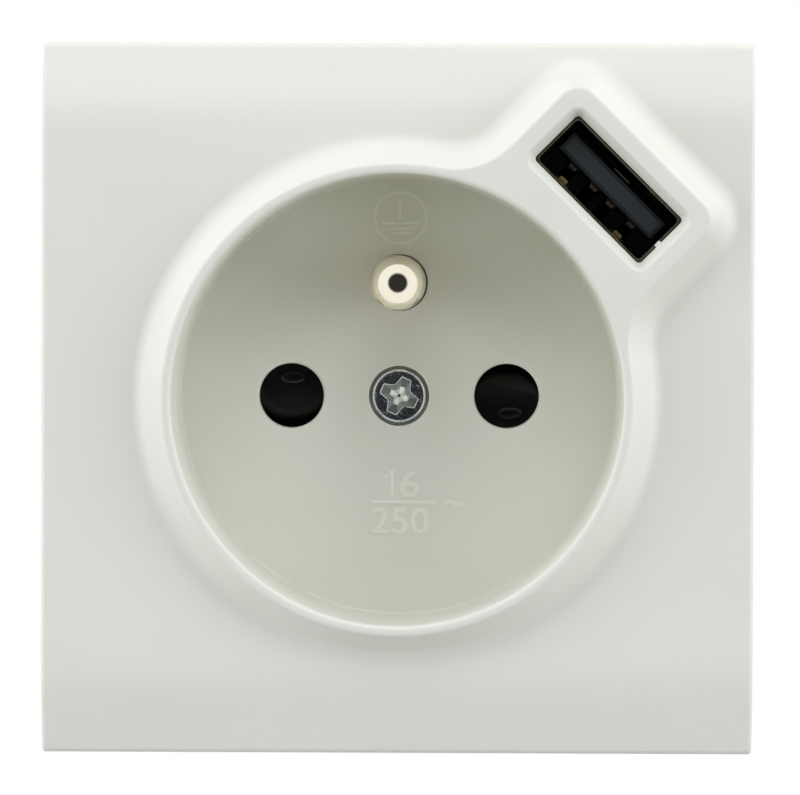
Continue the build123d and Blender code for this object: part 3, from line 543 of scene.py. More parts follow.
def plate_out(bm, foot):
    """Rings from the flank's foot to the square edge, then the skirt and its inside."""
    starts = [v.co.copy() for v in foot]
    ends = [square_end(s) for s in starts]
    flat_half = PLATE_HALF - EDGE_ROUND
    rings = [foot]
    for k in range(1, PLATE_RINGS + 1):
        rings.append(extruded(bm, rings[-1]))
        for vert, start, end in zip(rings[-1], starts, ends):
            vert.co = start.lerp(end * flat_half * MM, k / PLATE_RINGS)
            vert.co.y = plate_y(vert.co.z / MM) * MM
    turns = [radians(90 * k / EDGE_RINGS) for k in range(1, EDGE_RINGS + 1)]
    inside = PLATE_HALF - SKIRT_WALL
    steps = [(flat_half + EDGE_ROUND * sin(a), None, EDGE_ROUND * (1 - cos(a))) for a in turns]
    steps += [(PLATE_HALF, -SKIRT_GAP, 0), (inside, -SKIRT_GAP, 0), (inside, None, FACE_WALL)]
    steps += [(INNER_HALF, FACE_Y + FACE_WALL, 0)]
    for half, y, fall in steps:
        rings.append(extruded(bm, rings[-1]))
        for vert, end in zip(rings[-1], ends):
            vert.co = end * half * MM
            vert.co.y = ((plate_y(vert.co.z / MM) if y is None else y) + fall) * MM
    corners = [i for i, end in enumerate(ends) if abs(end.x) == abs(end.z)]
    edge = rings[PLATE_RINGS:PLATE_RINGS + EDGE_RINGS + 2]
    uprights = [bm.edges.get((a[i], b[i])) for a, b in zip(edge, edge[1:]) for i in corners]
    return rings[-1], uprights


# %% [markdown]
# ## The cover: well, holes and USB window
# The well is a cup: a rounded mouth, a wall with a little draft so that it leaves the mould, and a rounded
# foot. Its floor has the two pin holes, the earth pin's hole and the screw's counterbore. The USB window
# starts from a square face with rounded corners and slopes inward to the metal shell.

# %% Well and holes
WELL_LIP, WELL_FOOT, WELL_DRAFT = 0.42, 0.15, 0.15
MOUTH_SEGMENTS, LIP_RINGS, WELL_FOOT_RINGS = 192, 6, 4


def well_down(bm):
    """Mouth, wall and foot of the well, as its mouth's and its floor's loop."""
    mouth = circle_loop(bm, WELL_R + WELL_DRAFT + WELL_LIP, RIM_Y, segments=MOUTH_SEGMENTS)
    foot_out = -WELL_LIP - WELL_DRAFT
    steps = round_steps(WELL_LIP, RIM_Y, LIP_RINGS)
    steps.append((foot_out, FLOOR_Y - WELL_FOOT))
    angles = [radians(90 * k / WELL_FOOT_RINGS) for k in range(1, WELL_FOOT_RINGS + 1)]
    steps += [(foot_out - WELL_FOOT * (1 - cos(a)), FLOOR_Y - WELL_FOOT * (1 - sin(a))) for a in angles]
    return mouth, sweep(bm, mouth, steps)


def hole_through(bm, radius, edge_round, x, z, steps=()):
    """Round hole in the well's floor, as its front and its back loop."""
    front = circle_loop(bm, radius + edge_round, FLOOR_Y, x, z)
    path = round_steps(edge_round, FLOOR_Y) + list(steps)
    return front, sweep(bm, front, path + [(path[-1][0], SEAT_Y)])


# %% USB window
USB_MIDDLE, WINDOW_W, WINDOW_H = 25.56, 12.8, 5.4
WINDOW_BEVEL, WINDOW_CORNER, WINDOW_DEPTH, WINDOW_LEDGE = 0.8, 0.4, 0.9, 0.4
ROOM_STEP, WINDOW_ROUND = 0.45, 0.2
WINDOW_EASE = ((0.35, 0.1), (1.0, 0.6))


def window_through(bm):
    """Sloped window for the USB shell, as its front and its back loop."""
    place = TO_LOBE @ Matrix.Translation(Vector((USB_MIDDLE, RIM_Y, 0)) * MM)
    front = rectangle_loop(
        bm, WINDOW_H + 2 * WINDOW_BEVEL, WINDOW_W + 2 * WINDOW_BEVEL, WINDOW_CORNER + WINDOW_BEVEL, place
    )
    throat_y, back_y = RIM_Y + WINDOW_DEPTH, FACE_Y + FACE_WALL
    steps = [(-inward * WINDOW_ROUND, RIM_Y + deep * WINDOW_ROUND) for inward, deep in WINDOW_EASE]
    steps += [(-WINDOW_BEVEL, throat_y), (-WINDOW_BEVEL, throat_y + WINDOW_LEDGE)]
    steps += [(ROOM_STEP - WINDOW_BEVEL, throat_y + WINDOW_LEDGE), (ROOM_STEP - WINDOW_BEVEL, back_y)]
    return front, sweep(bm, front, steps)


# %% Corner posts
strap_low, strap_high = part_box("mounting_strap")
POST_W, POST_CORNER, POST_INSET = 2.4, 0.2, 2.4
POST_AT, POST_BACK = strap_high.x / MM - POST_INSET, strap_low.y / MM


def corner_posts(bm):
    """Square posts behind the plate's corners that rest on the strap, as the loops where they start."""
    loops = []
    for x in (-POST_AT, POST_AT):
        for z in (-POST_AT, POST_AT):
            place = Matrix.Translation(Vector((x, FACE_Y + FACE_WALL, z)) * MM)
            loops.append(rectangle_loop(bm, POST_W, POST_W, POST_CORNER, place, 2))
            fill_between(bm, sweep(bm, loops[-1], [(0, POST_BACK)]))
    return loops


# %% Round off edges
def bevel_edges(bm, edges, width, segments):
    """Round off edges by a width in millimetres."""
    bmesh.ops.bevel(
        bm, geom=edges, offset=width * MM, offset_type="OFFSET", affect="EDGES", segments=segments,
        profile=0.5, material=-1, clamp_overlap=True,
    )


# %% Put the cover together
PIN_X, PIN_HOLE_R, PIN_HOLE_ROUND = 9.5, 2.85, 0.3
EARTH_Z, EARTH_HOLE_R, EARTH_HOLE_ROUND = 10.0, 2.48, 0.08
BORE_R, BORE_ROUND, SCREW_HOLE_R, SCREW_SEAT = 2.65, 0.12, 1.85, 1.35
CORNER_ROUND = 0.3
bm = bmesh.new()
rim = collar_loop(bm)
skirt_inside, uprights = plate_out(bm, flank_down(bm, rim))
mouth, floor = well_down(bm)
bored = [
    hole_through(bm, PIN_HOLE_R, PIN_HOLE_ROUND, -PIN_X, 0),
    hole_through(bm, PIN_HOLE_R, PIN_HOLE_ROUND, PIN_X, 0),
    hole_through(bm, EARTH_HOLE_R, EARTH_HOLE_ROUND, 0, EARTH_Z),
    hole_through(
        bm, BORE_R, BORE_ROUND, 0, 0,
        [(-BORE_ROUND, FLOOR_Y + SCREW_SEAT), (SCREW_HOLE_R - BORE_R - BORE_ROUND, FLOOR_Y + SCREW_SEAT)],
    ),
]
window, room = window_through(bm)
tube = circle_loop(bm, WELL_R + WELL_WALL, FACE_Y + FACE_WALL)
tube_end = sweep(bm, tube, [(0, SEAT_Y)])
fill_between(bm, rim, mouth, window)
fill_between(bm, floor, *[front for front, back in bored])
fill_between(bm, tube_end, *[back for front, back in bored])
fill_between(bm, skirt_inside, tube, room, *corner_posts(bm))
print("corner edges:", len(uprights))
bmesh.ops.recalc_face_normals(bm, faces=bm.faces)
bevel_edges(bm, uprights, CORNER_ROUND, 4)
print("open edges:", len([e for e in bm.edges if len(e.link_faces) != 2]))
piece_of(bm, "cover_moulding", satin_white, replaced=["front_cover"])

# %% [markdown]
# ## Marks on the well's floor
# The earth sign and the rating stand less than a tenth of a millimetre proud, as marks cut into the mould
# come out. The figures are text that is turned into a mesh and fitted to the size of the real ones. The
# sign is a ring and four bars. All have roots below the floor, so no gap shows at their feet.

# %% Helpers for raised marks
MARK_RISE, MARK_ROOT = 0.06, 0.1
MARK_SOFT, MARK_BOLD = 0.025, 0.008
TEXT_DEPTH = 0.05  # any depth will do, because the mesh is fitted to its box


def raise_text(bm, words, left, right, low, high):
    """Raised text fitted into a box on the well's floor."""
    font = bpy.data.curves.new("mark", "FONT")
    font.body = words
    font.offset = MARK_BOLD
    font.extrude = TEXT_DEPTH
    text_piece = bpy.data.objects.new("mark", font)
    mesh = bpy.data.meshes.new_from_object(text_piece)
    start = [min(v.co[k] for v in mesh.vertices) for k in range(3)]
    end = [max(v.co[k] for v in mesh.vertices) for k in range(3)]
    size = [e - s for s, e in zip(start, end)]
    scale = Matrix.Diagonal(
        ((right - left) / size[0], (high - low) / size[1], (MARK_RISE + MARK_ROOT) / size[2], 1)
    )
    to_origin = Matrix.Translation(-Vector(start))
    place = Matrix.Translation(Vector((left, FLOOR_Y + MARK_ROOT, low)))
    mesh.transform(Matrix.Scale(MM, 4) @ place @ FACING_ROOM @ scale @ to_origin)
    bm.from_mesh(mesh)
    bpy.data.objects.remove(text_piece)


def soft_cube(bm, place, soft):
    """Unit cube that a matrix sizes and places, with softened edges."""
    verts = bmesh.ops.create_cube(bm, size=1, matrix=place)["verts"]
    bevel_edges(bm, list({e for v in verts for e in v.link_edges}), soft, 2)


def raise_bar(bm, left, right, low, high, lean=0.0, rise=MARK_RISE):
    """Raised bar with softened edges, turned about its middle by lean degrees."""
    size = Vector((right - left, rise + MARK_ROOT, high - low))
    middle = Vector(((left + right) / 2, FLOOR_Y + (MARK_ROOT - rise) / 2, (low + high) / 2))
    turn = Matrix.Rotation(radians(lean), 4, "Y")
    soft_cube(bm, Matrix.Translation(middle * MM) @ turn @ Matrix.Diagonal((*(size * MM), 1)), MARK_SOFT)


def raise_band(bm, loop, width, soft, top, root):
    """Closed band with softened edges, swept outward from its inner loop at the root."""
    steps = [(0, top + soft), (soft, top), (width - soft, top), (width, top + soft), (width, root), (0, root)]
    sweep(bm, loop, steps)


# %% Earth sign
SIGN_X, SIGN_Z, SIGN_R, SIGN_LINE = 0.08, 15.75, 2.27, 0.28
UPRIGHT_X, UPRIGHT_HALF, UPRIGHT_TOP = 0.05, 0.17, 1.55
SIGN_BARS, BAR_HALF = ((-0.48, 1.66), (-0.98, 1.16), (-1.4, 0.85)), 0.12
bm = bmesh.new()
ring = circle_loop(bm, SIGN_R - SIGN_LINE / 2, FLOOR_Y + MARK_ROOT, SIGN_X, SIGN_Z)
raise_band(bm, ring, SIGN_LINE, MARK_SOFT, FLOOR_Y - MARK_RISE, FLOOR_Y + MARK_ROOT)
raise_bar(
    bm, UPRIGHT_X - UPRIGHT_HALF, UPRIGHT_X + UPRIGHT_HALF, SIGN_Z + SIGN_BARS[0][0], SIGN_Z + UPRIGHT_TOP
)
for rise, half in SIGN_BARS:
    raise_bar(bm, SIGN_X - half, SIGN_X + half, SIGN_Z + rise - BAR_HALF, SIGN_Z + rise + BAR_HALF)
piece_of(bm, "earth_sign", pale_white)

# %% Rating
# Each box is left, right, low and high, in millimetres from the well's middle.
ONE_STEM, ONE_FLAG = (-0.75, -0.39, -9.0, -6.55), (-1.42, -0.44, -7.13, -6.83)
SIX, LINE = (0.12, 1.77, -8.98, -6.55), (-2.48, 3.2, -9.54, -9.22)
VOLTS, WAVE = (-2.43, 2.66, -12.2, -9.87), (3.98, 5.66, -9.76, -9.16)
FLAG_LEAN, FLAG_LOWER = -43, 0.015
bm = bmesh.new()
raise_bar(bm, *ONE_STEM)
# The flag's top lies a little below the stem's, so that they share no plane where they cross.
raise_bar(bm, *ONE_FLAG, FLAG_LEAN, MARK_RISE - FLAG_LOWER)
raise_text(bm, "6", *SIX)
raise_bar(bm, *LINE)
raise_text(bm, "250", *VOLTS)
raise_text(bm, "~", *WAVE)
piece_of(bm, "rating_mark", pale_white)

# %% [markdown]
# ## Earth pin
# The pin is turned, so its half section is drawn and spun about its axis. The round tip is a quarter
# circle that a vertex leaves behind as it turns, pressed a little flatter. The nickel is bright: its tip
# mirrors the dark side of the studio in a disc and the well's wall in the ring round it.


# %% Helpers for turned pieces
def spun(bm, centre, steps=96):
    """Spin a half section about an axis along Y and close its seam and poles."""
    bmesh.ops.spin(
        bm, geom=bm.verts[:] + bm.edges[:], cent=centre, axis=(0, 1, 0), angle=radians(360), steps=steps,
        use_merge=True, use_duplicate=False,
    )
    bmesh.ops.remove_doubles(bm, verts=bm.verts, dist=WELD)


def draw_on(bm, vert, *points):
    """Straight edges from a vertex through points of radius and Y, in millimetres."""
    for radius, y in points:
        vert = bmesh.ops.extrude_vert_indiv(bm, verts=[vert])["verts"][0]
        vert.co = Vector((radius * MM, y * MM, vert.co.z))
    return vert


# %% Turn the pin
pin_low, pin_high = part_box("earth_pin")
PIN_R, SHANK_R, FLANGE_R, FLANGE_T = 2.4, 2.2, 3.2, 0.8
NECK, TIP_FLAT, TIP_STEPS = 0.1, 0.87, 24
TIP_Y, PIN_END = pin_low.y / MM, pin_high.y / MM
bm = bmesh.new()
tip = bm.verts.new(Vector((0, TIP_Y, EARTH_Z)) * MM)
round_of_tip = bmesh.ops.spin(
    bm, geom=[tip], cent=Vector((0, TIP_Y + PIN_R, EARTH_Z)) * MM, axis=(0, 0, 1), angle=radians(90),
    steps=TIP_STEPS,
)
bmesh.ops.scale(bm, vec=(1, TIP_FLAT, 1), space=Matrix.Translation((0, -TIP_Y * MM, 0)), verts=bm.verts)
vert = next(g for g in round_of_tip["geom_last"] if isinstance(g, bmesh.types.BMVert))
draw_on(
    bm, vert, (PIN_R, FLOOR_Y - NECK), (SHANK_R, FLOOR_Y), (SHANK_R, PIN_END - FLANGE_T),
    (FLANGE_R, PIN_END - FLANGE_T), (FLANGE_R, PIN_END), (0, PIN_END),
)
spun(bm, Vector((0, 0, EARTH_Z)) * MM)
piece_of(bm, "earth_pin_turned", bright_nickel, replaced=["earth_pin"])

# %% [markdown]
# ## Cover screw
# A flat-topped screw with a cross recess. The recess starts as a square face whose four sides are extruded
# into arms that narrow towards their tips. Its outline is then swept down and in: a thin chamfer that
# catches the light, short walls, almost level floors in the arms, a steeper star in the middle and a deep
# point. The flats mirror the dark side of the studio. The floors, which drivers scuff matt, are painted a
# darker grey as shade in the recess, and the star a paler one as a painted highlight, so their faces are
# picked out by depth.

# %% Cross recess
screw_low, screw_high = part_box("cover_screw")
HEAD_Y, SCREW_END = screw_low.y / MM, screw_high.y / MM
CROSS_WAIST, CROSS_TIP, CROSS_SPAN, CROSS_TURN = 1.48, 0.92, 3.38, 23.5
WAIST_ROUND, TIP_ROUND = 0.16, 0.1


def cross_loop(bm):
    """Outline of the cross recess in the top of the head."""
    place = FACING_ROOM @ Matrix.Diagonal((CROSS_WAIST, CROSS_WAIST, 1, 1))
    middle = bmesh.ops.create_grid(bm, x_segments=1, y_segments=1, size=0.5 * MM, matrix=place)["verts"]
    face = middle[0].link_faces[0]
    inner = list(face.verts)
    for edge in list(face.edges):
        side = (edge.verts[0].co + edge.verts[1].co) / 2
        tip = bmesh.ops.extrude_edge_only(bm, edges=[edge])["geom"]
        for vert in [g for g in tip if isinstance(g, bmesh.types.BMVert)]:
            vert.co = side * CROSS_SPAN / CROSS_WAIST + (vert.co - side) * CROSS_TIP / CROSS_WAIST
    whole = bmesh.ops.dissolve_faces(bm, faces=bm.faces, use_verts=False)["region"][0]
    tips = [v for v in whole.verts if v not in inner]
    for verts, corner in ((inner, WAIST_ROUND), (tips, TIP_ROUND)):
        bmesh.ops.bevel(
            bm, geom=verts, offset=corner * MM, affect="VERTICES", segments=2, profile=0.5, material=-1
        )
    loop = list(max(bm.faces, key=lambda f: len(f.verts)).verts)
    bmesh.ops.delete(bm, geom=bm.faces[:], context="FACES_ONLY")
    turn = Matrix.Rotation(radians(CROSS_TURN), 4, "Y")
    bmesh.ops.transform(bm, matrix=Matrix.Translation((0, HEAD_Y * MM, 0)) @ turn, verts=loop)
    return loop


def narrowing(bm, loop, steps):
    """Extrude a loop towards its own axis through steps of (share of its first size, Y)."""
    points = [v.co.copy() for v in loop]
    for share, y in steps:
        loop = extruded(bm, loop)
        for vert, point in zip(loop, points):
            vert.co = Vector((point.x * share, y * MM, point.z * share))
    return loop


# %% Head, thread and finishes
HEAD_R, HEAD_T, HEAD_ROUND, SCREW_R = 2.36, 1.2, 0.2, 1.7
THREAD_PITCH, THREAD_DEPTH, CREST_FLAT = 0.8, 0.3, 0.1
# Walls and the head's edge are steps of millimetres inward and deep, the others of share left and deep.
RECESS_WALL, HEAD_EDGE = ((0.07, 0.034), (0.1, 0.1), (0.12, 0.34)), ((0.03, 0.08), (0.0, 0.14))
RECESS_STAR, RECESS_POINT = ((0.55, 0.46), (0.51, 0.54), (0.1, 0.81)), ((0.9, 1.1),)
FLOOR_TOP, FLOOR_END, STAR_END, CROSS_R = 0.36, 0.48, 0.82, 1.7
bm = bmesh.new()
cross = cross_loop(bm)
wall = sweep(bm, cross, [(-inward, HEAD_Y + deep) for inward, deep in RECESS_WALL])
star = narrowing(bm, wall, [(share, HEAD_Y + deep) for share, deep in RECESS_STAR])
point = narrowing(bm, star, [(share, HEAD_Y + deep) for share, deep in RECESS_POINT])
fill_between(bm, point)
head = circle_loop(bm, HEAD_R - HEAD_ROUND, HEAD_Y)
fill_between(bm, head, cross)
shank = SCREW_R - (HEAD_R - HEAD_ROUND)
path = [(HEAD_ROUND - inward, HEAD_Y + deep) for inward, deep in HEAD_EDGE]
path += [(HEAD_ROUND, HEAD_Y + HEAD_T), (shank, HEAD_Y + HEAD_T)]
turns = int((SCREW_END - SEAT_Y) / THREAD_PITCH)
for k in range(turns):
    crest = SEAT_Y + (k + 0.5) * THREAD_PITCH
    path += [(shank, crest - CREST_FLAT), (shank, crest), (shank - THREAD_DEPTH, crest + THREAD_PITCH / 2)]
path += [(shank - THREAD_DEPTH, SCREW_END)]
fill_between(bm, sweep(bm, head, path))
screw = piece_of(bm, "cover_screw_cross", zinc, replaced=["cover_screw"], sharp=25)
# The floors get a darker zinc as painted shade in the recess, and the star a paler one as a painted
# highlight.
screw.data.materials.append(scuffed_zinc_painted_shade)
screw.data.materials.append(star_zinc_painted_highlight)
for face in screw.data.polygons:
    depth = face.center.y / MM - HEAD_Y
    if FLOOR_TOP < depth < STAR_END and hypot(face.center.x, face.center.z) < CROSS_R * MM:
        face.material_index = 1 if depth < FLOOR_END else 2
print("faces with painted shade or highlight:", sum(face.material_index > 0 for face in screw.data.polygons))

# %% [markdown]
# ## Softened copies
# The other pieces that show keep the shape that the construction model gives them. A perfectly sharp corner
# betrays a computer model, so each is copied, its triangles are joined into whole faces and its corners
# are rounded off by up to two tenths of a millimetre.

# %% Soften a construction piece
FLAT_ANGLE, CORNER_ANGLE = radians(1), radians(40)
TRIANGLE_WELD = 2e-6


def whole_faces(node):
    """Copy of a construction piece whose triangles are joined into whole faces."""
    bm = bmesh.new()
    bm.from_mesh(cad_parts[node].data)
    bmesh.ops.remove_doubles(bm, verts=bm.verts, dist=TRIANGLE_WELD)
    bmesh.ops.dissolve_limit(bm, angle_limit=FLAT_ANGLE, verts=bm.verts, edges=bm.edges)
    return bm


def softened(node, name, material, width, body="socket", bm=None):
    """Copy of a construction piece with rounded corners. A bmesh given stands for the copy."""
    bm = bm or whole_faces(node)
    corners = [e for e in bm.edges if len(e.link_faces) == 2 and e.calc_face_angle() > CORNER_ANGLE]
    bevel_edges(bm, corners, width, 2)
    return piece_of(bm, name, material, body, replaced=[node])


# %% [markdown]
# ## Shutter
# One black piece lies behind both holes and turns when two pins push its ramps. Each arm has an oval
# mark where an ejector pin of the mould pushed it out.

# %% Shutter and its ejector marks
softened("shutter", "shutter_moulding", black_shutter, width=0.12, body="shutter")
SHUTTER_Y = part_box("shutter")[0].y / MM
EJECTOR_HALF, EJECTOR_SQUEEZE, EJECTOR_SEGMENTS = 1.07, 0.47, 48
EJECTOR_ROOT, EJECTOR_WALL, EJECTOR_RISE, EJECTOR_EDGE = 0.1, 0.06, 0.1, 0.05
EJECTOR_MARKS = {"left_ejector_mark": (0.05 - PIN_X, 1.56), "right_ejector_mark": (0.33 + PIN_X, -1.56)}
for name, (x, z) in EJECTOR_MARKS.items():
    bm = bmesh.new()
    loop = circle_loop(bm, EJECTOR_HALF, SHUTTER_Y + EJECTOR_ROOT, x, z, EJECTOR_SEGMENTS, EJECTOR_SQUEEZE)
    fill_between(bm, loop)
    top = sweep(bm, loop, [(0, SHUTTER_Y - EJECTOR_WALL), (-EJECTOR_EDGE, SHUTTER_Y - EJECTOR_RISE)])
    fill_between(bm, top)
    piece_of(bm, name, black_shutter, "shutter")

# %% [markdown]
# ## USB outlet
# A shell of bent steel strip, a dark tongue and four contacts under it. The tongue's ends slope back, so
# that a plug finds its way. The spring fingers stand up from the shell's lower wall. They are a copper
# alloy, so their faces are picked out by place and have a finish of their own.

# %% Shell, tongue and contacts
FINGER_AT, FINGER_HALF, FINGER_RISE, SHELL_INNER = 3.3, 0.76, 0.06, 2.56
TONGUE_SLOPE = 0.5
shell = softened("usb_shell", "usb_shell_strip", tin_plate, width=0.06)
shell.data.materials.append(copper_alloy)
from_lobe = TO_LOBE.inverted()
for face in shell.data.polygons:
    at = from_lobe @ face.center / MM
    above_wall = at.x - USB_MIDDLE + SHELL_INNER
    if FINGER_RISE < above_wall < SHELL_INNER and abs(abs(at.z) - FINGER_AT) < FINGER_HALF:
        face.material_index = 1
tongue = whole_faces("usb_insulator")
front = min(tongue.faces, key=lambda f: f.calc_center_median().y)
bevel_edges(tongue, sorted(front.edges, key=lambda e: e.calc_length())[:2], TONGUE_SLOPE, 1)
softened("usb_insulator", "usb_tongue", dark_tongue, width=0.06, bm=tongue)
# The strips' dark colour is painted shade under the tongue.
softened("usb_contacts", "usb_contact_strips", bronze_painted_shade, width=0.04)

# %% [markdown]
# ## Small springs and the lip
# The contacts hook at their tips, the fingers bend inward at theirs, and a small lug of the cover reaches
# over the shell. Each is under a millimetre, so a softened block gives the same glint as the true bend.
# The shell's lip is a band, as the earth sign's ring is. The leaf in the upper wall presses on the plug: a
# line that is extruded across and given a thickness.

# %% Contact tips, finger tips and lug
USB_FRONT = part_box("usb_shell")[0].y / MM
BLOCK_SOFT = 0.08
TIPS_AT, TIP_HALF, TIP_ALONG, TIP_DEPTH = (-3.5, -1.0, 1.0, 3.5), 0.36, (-0.98, -0.66), (1.6, 2.1)
FINGER_TIP_HALF, FINGER_TIP_ALONG, FINGER_TIP_DEPTH = 0.4, (-2.5, -1.95), (1.2, 2.0)
LUG_AT, LUG_HALF, LUG_ALONG, LUG_DEPTH = -6.37, 0.23, (-0.6, 0.0), (-0.75, -0.06)


def small_blocks(name, material, places, half, along, depth):
    """Softened blocks, with spans along the diagonal and behind the outlet's mouth, at places across it."""
    bm = bmesh.new()
    for across in places:
        spans = (
            [USB_MIDDLE + d for d in along], [USB_FRONT + d for d in depth], (across - half, across + half)
        )
        middle = Vector([(low + high) / 2 for low, high in spans])
        size = Vector([high - low for low, high in spans])
        place = TO_LOBE @ Matrix.Translation(middle * MM) @ Matrix.Diagonal((*(size * MM), 1))
        soft_cube(bm, place, BLOCK_SOFT)
    piece_of(bm, name, material)


# The tips' grey is painted shade in the outlet.
small_blocks("usb_contact_tips", contact_nickel_painted_shade, TIPS_AT, TIP_HALF, TIP_ALONG, TIP_DEPTH)
small_blocks(
    "usb_finger_tips", copper_alloy, (-FINGER_AT, FINGER_AT), FINGER_TIP_HALF,
    FINGER_TIP_ALONG, FINGER_TIP_DEPTH,
)
small_blocks("window_lug", satin_white, [LUG_AT], LUG_HALF, LUG_ALONG, LUG_DEPTH)

# %% Lip of the shell
LIP_W, LIP_T, LIP_SOFT, LIP_PROUD, LIP_OVER = 0.3, 0.3, 0.06, 0.04, 0.1
lip_y, lip_back = USB_FRONT - LIP_PROUD, USB_FRONT - LIP_PROUD + LIP_T
lip_h, lip_w = WINDOW_H + LIP_OVER - 2 * LIP_W, WINDOW_W + LIP_OVER - 2 * LIP_W
bm = bmesh.new()
place = TO_LOBE @ Matrix.Translation(Vector((USB_MIDDLE, lip_back, 0)) * MM)
lip = rectangle_loop(bm, lip_h, lip_w, WINDOW_CORNER, place)
raise_band(bm, lip, LIP_W, LIP_SOFT, lip_y, lip_back)
piece_of(bm, "usb_shell_lip", tin_plate)

# %% Leaf in the upper wall
LEAF_PATH, LEAF_HALF, LEAF_T = ((2.5, 5.5), (1.7, 3.0), (1.78, 2.5)), 0.9, 0.12
path = [(USB_MIDDLE + along, USB_FRONT + depth) for along, depth in LEAF_PATH]
bm = bmesh.new()
draw_on(bm, bm.verts.new(Vector((*path[0], -LEAF_HALF)) * MM), *path[1:])
across = bmesh.ops.extrude_edge_only(bm, edges=bm.edges[:])["geom"]
across = [g for g in across if isinstance(g, bmesh.types.BMVert)]
bmesh.ops.translate(bm, verts=across, vec=(0, 0, 2 * LEAF_HALF * MM))
bmesh.ops.solidify(bm, geom=bm.faces[:], thickness=LEAF_T * MM)
bmesh.ops.transform(bm, matrix=TO_LOBE, verts=bm.verts)
piece_of(bm, "usb_upper_leaf", spring_steel)

# %% [markdown]
# ## Body, strap and inside
# The body and its rear cup are grey moulded polyamide, the strap is stamped from galvanised sheet. What
# lies inside keeps its construction shape and gets the finish of its real material.

# %% Pieces behind the cover
softened("socket_base", "body_moulding", grey_body, width=0.2)
softened("rear_housing", "housing_moulding", grey_body, width=0.2)
softened("mounting_strap", "strap_stamping", galvanised, width=0.15)
FINISHES = (
    (spring_steel, ["shutter_spring"]),
    (brass, ["earth_bridge", "live_contact", "neutral_contact"]),
    (brass, ["live_terminal", "neutral_terminal", "earth_terminal"]),
    (zinc, ["live_terminal_screw", "neutral_terminal_screw", "earth_terminal_screw"]),
    (board_laminate, ["usb_board"]),
    (ferrite, ["transformer_core"]),
    (tape_yellow, ["transformer_winding"]),
    (can_sleeve, ["input_capacitor", "output_capacitor"]),
    (black_epoxy, ["controller_chip", "rectifier", "fuse_resistor"]),
    (brown_insulation, ["live_lead"]),
    (blue_insulation, ["neutral_lead"]),
)
for material, nodes in FINISHES:
    for node in nodes:
        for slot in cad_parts[node].material_slots:
            slot.material = material
print("finished in place:", sum(len(nodes) for material, nodes in FINISHES))

# %% [markdown]
# ## Camera
# The photograph looks almost straight at the socket from half a metre with a long lens. The camera is
# aimed so that the middle of the well's floor falls on its own pixel, and rolled by a fifth of a degree.

# %% Camera
SIZE_PX = Vector((800, 795))
LENS_PX, SENSOR = 5840, 36.0
CAMERA_AT = Vector((6.0, -511.6, 11.2)) * MM
WELL_CENTRE_PX = Vector((399.05, 395.85))
ROLL = radians(0.19)
camera = bpy.data.objects.new("camera", bpy.data.cameras.new("camera"))
scene.collection.objects.link(camera)
camera.data.sensor_width = SENSOR
camera.data.lens = LENS_PX / SIZE_PX.x * SENSOR
camera.data.clip_start = 0.01
target = Vector((0, FLOOR_Y * MM, 0))
pixel = (target - CAMERA_AT).length / LENS_PX
off_centre = WELL_CENTRE_PX - SIZE_PX / 2
aim = target + Vector((-off_centre.x, 0, off_centre.y)) * pixel
camera.location = CAMERA_AT
camera.rotation_euler = ((aim - CAMERA_AT).to_track_quat("-Z", "Y") @ Quaternion((0, 0, 1), ROLL)).to_euler()
scene.camera = camera
print("lens", round(camera.data.lens, 1), "mm")

# %% [markdown]
# ## Lamps
# The light is a tent of large soft lamps, strongest from above, so the coves that look up are the brightest
# and the top of the well's floor lies in a soft shade. The lamps are slightly cool, which makes the warm
# white of the plastic read as neutral. They don't show in mirrors, because metal in a tent sees even white
# cloth and no lamps. The world stands for that cloth.

# %% Lamps
COOL_WHITE = (0.95, 0.97, 1.07)
LAMP_WIDTH, LAMP_DISTANCE = 0.6, 1.0


def soft_lamp(name, azimuth, height, power):
    """Large square lamp that looks at the socket. Azimuth 0 is straight in front, 90 from the right."""
    lamp = bpy.data.objects.new(name, bpy.data.lights.new(name, "AREA"))
    scene.collection.objects.link(lamp)
    lamp.data.size = LAMP_WIDTH
    lamp.data.energy = power
    lamp.data.color = COOL_WHITE
    lamp.visible_glossy = False
    turn, rise = radians(azimuth), radians(height)
    lamp.location = Vector((sin(turn) * cos(rise), -cos(turn) * cos(rise), sin(rise))) * LAMP_DISTANCE
    lamp.rotation_euler = (-lamp.location).to_track_quat("-Z", "Y").to_euler()


soft_lamp("top lamp", 0, 50, 3.6)
soft_lamp("overhead lamp", 0, 88, 3.1)
soft_lamp("left front lamp", -62, 0, 2.75)
soft_lamp("right front lamp", 62, 0, 3.6)
soft_lamp("left side lamp", -82, 0, 3.3)
soft_lamp("right side lamp", 82, 0, 2.0)
soft_lamp("low lamp", 0, -88, 0.5)
soft_lamp("rear left lamp", -140, 30, 2.0)
soft_lamp("rear right lamp", 140, 30, 2.0)
print("lamps:", len(bpy.data.lights))

# %% [markdown]
# ## World and floor
# The world is the tent's white cloth. Bright metal needs something dark to mirror, or it looks like white
# paint, so mirrored rays that go back towards the camera's side meet a round dark side with a soft edge.
# The floor is there for views from above and behind. Light, shadow and mirrored rays pass it, so it neither
# lights the socket from below nor shows in the pin.

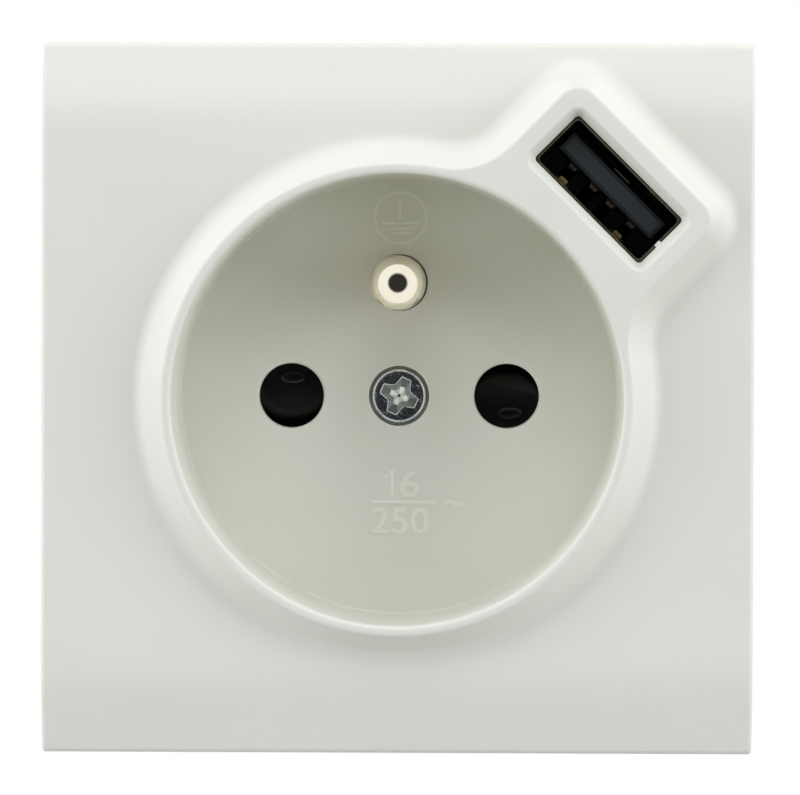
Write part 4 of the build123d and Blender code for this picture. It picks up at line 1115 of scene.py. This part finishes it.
# %% World
AMBIENT = 0.34
DARK_LEVEL, DARK_FULL, DARK_EDGE = 0.03, 32, 40
world = bpy.data.worlds.new("white tent with a dark camera side")
scene.world = world
world.use_nodes = True
tree = world.node_tree
tree.nodes.clear()
ray = add_node(tree, "ShaderNodeLightPath")
towards = add_node(tree, "ShaderNodeTexCoord").outputs["Generated"]
to_camera = add_node(tree, "ShaderNodeVectorMath", {0: towards, 1: (0, -1, 0)}, operation="DOT_PRODUCT")
mirrored = add_node(
    tree, "ShaderNodeMapRange",
    {"Value": to_camera.outputs["Value"], "From Min": cos(radians(DARK_EDGE)),
     "From Max": cos(radians(DARK_FULL)), "To Min": 1.0, "To Max": DARK_LEVEL},
)
sharp_ray = add_node(
    tree, "ShaderNodeMath", {0: ray.outputs["Is Glossy Ray"], 1: ray.outputs["Is Transmission Ray"]},
    operation="MAXIMUM",
)
lighting = add_node(
    tree, "ShaderNodeMapRange",
    {"Value": sharp_ray.outputs["Value"], "To Min": AMBIENT, "To Max": mirrored.outputs["Result"]},
)
strength = add_node(
    tree, "ShaderNodeMapRange",
    {"Value": ray.outputs["Is Camera Ray"], "To Min": lighting.outputs["Result"], "To Max": 1.0},
)
cloth = add_node(
    tree, "ShaderNodeBackground", {"Color": linear("FFFFFF"), "Strength": strength.outputs["Result"]}
)
add_node(tree, "ShaderNodeOutputWorld", {"Surface": cloth.outputs["Background"]})
print("dark side within", DARK_EDGE, "degrees, light of the cloth", AMBIENT)

# %% Floor
FLOOR_DROP, FLOOR_HALF, FLOOR_ROUGHNESS = 0.12, 0.6, 0.8
bm = bmesh.new()
bmesh.ops.create_grid(bm, x_segments=1, y_segments=1, size=FLOOR_HALF)
bmesh.ops.translate(bm, verts=bm.verts, vec=(0, 0, -FLOOR_DROP))
floor_mesh = bpy.data.meshes.new("floor")
bm.to_mesh(floor_mesh)
bm.free()
floor_material, _, shader, _ = new_material("pale matt paper")
shader.inputs["Base Color"].default_value = linear("F4F2E8")
shader.inputs["Roughness"].default_value = FLOOR_ROUGHNESS
floor_mesh.materials.append(floor_material)
floor_piece = bpy.data.objects.new("floor", floor_mesh)
scene.collection.objects.link(floor_piece)
floor_piece.visible_diffuse = False
floor_piece.visible_glossy = False
floor_piece.visible_shadow = False
floor_piece.visible_transmission = False
scene.view_settings.view_transform = "Standard"
print("floor", FLOOR_DROP, "m below the socket's middle")
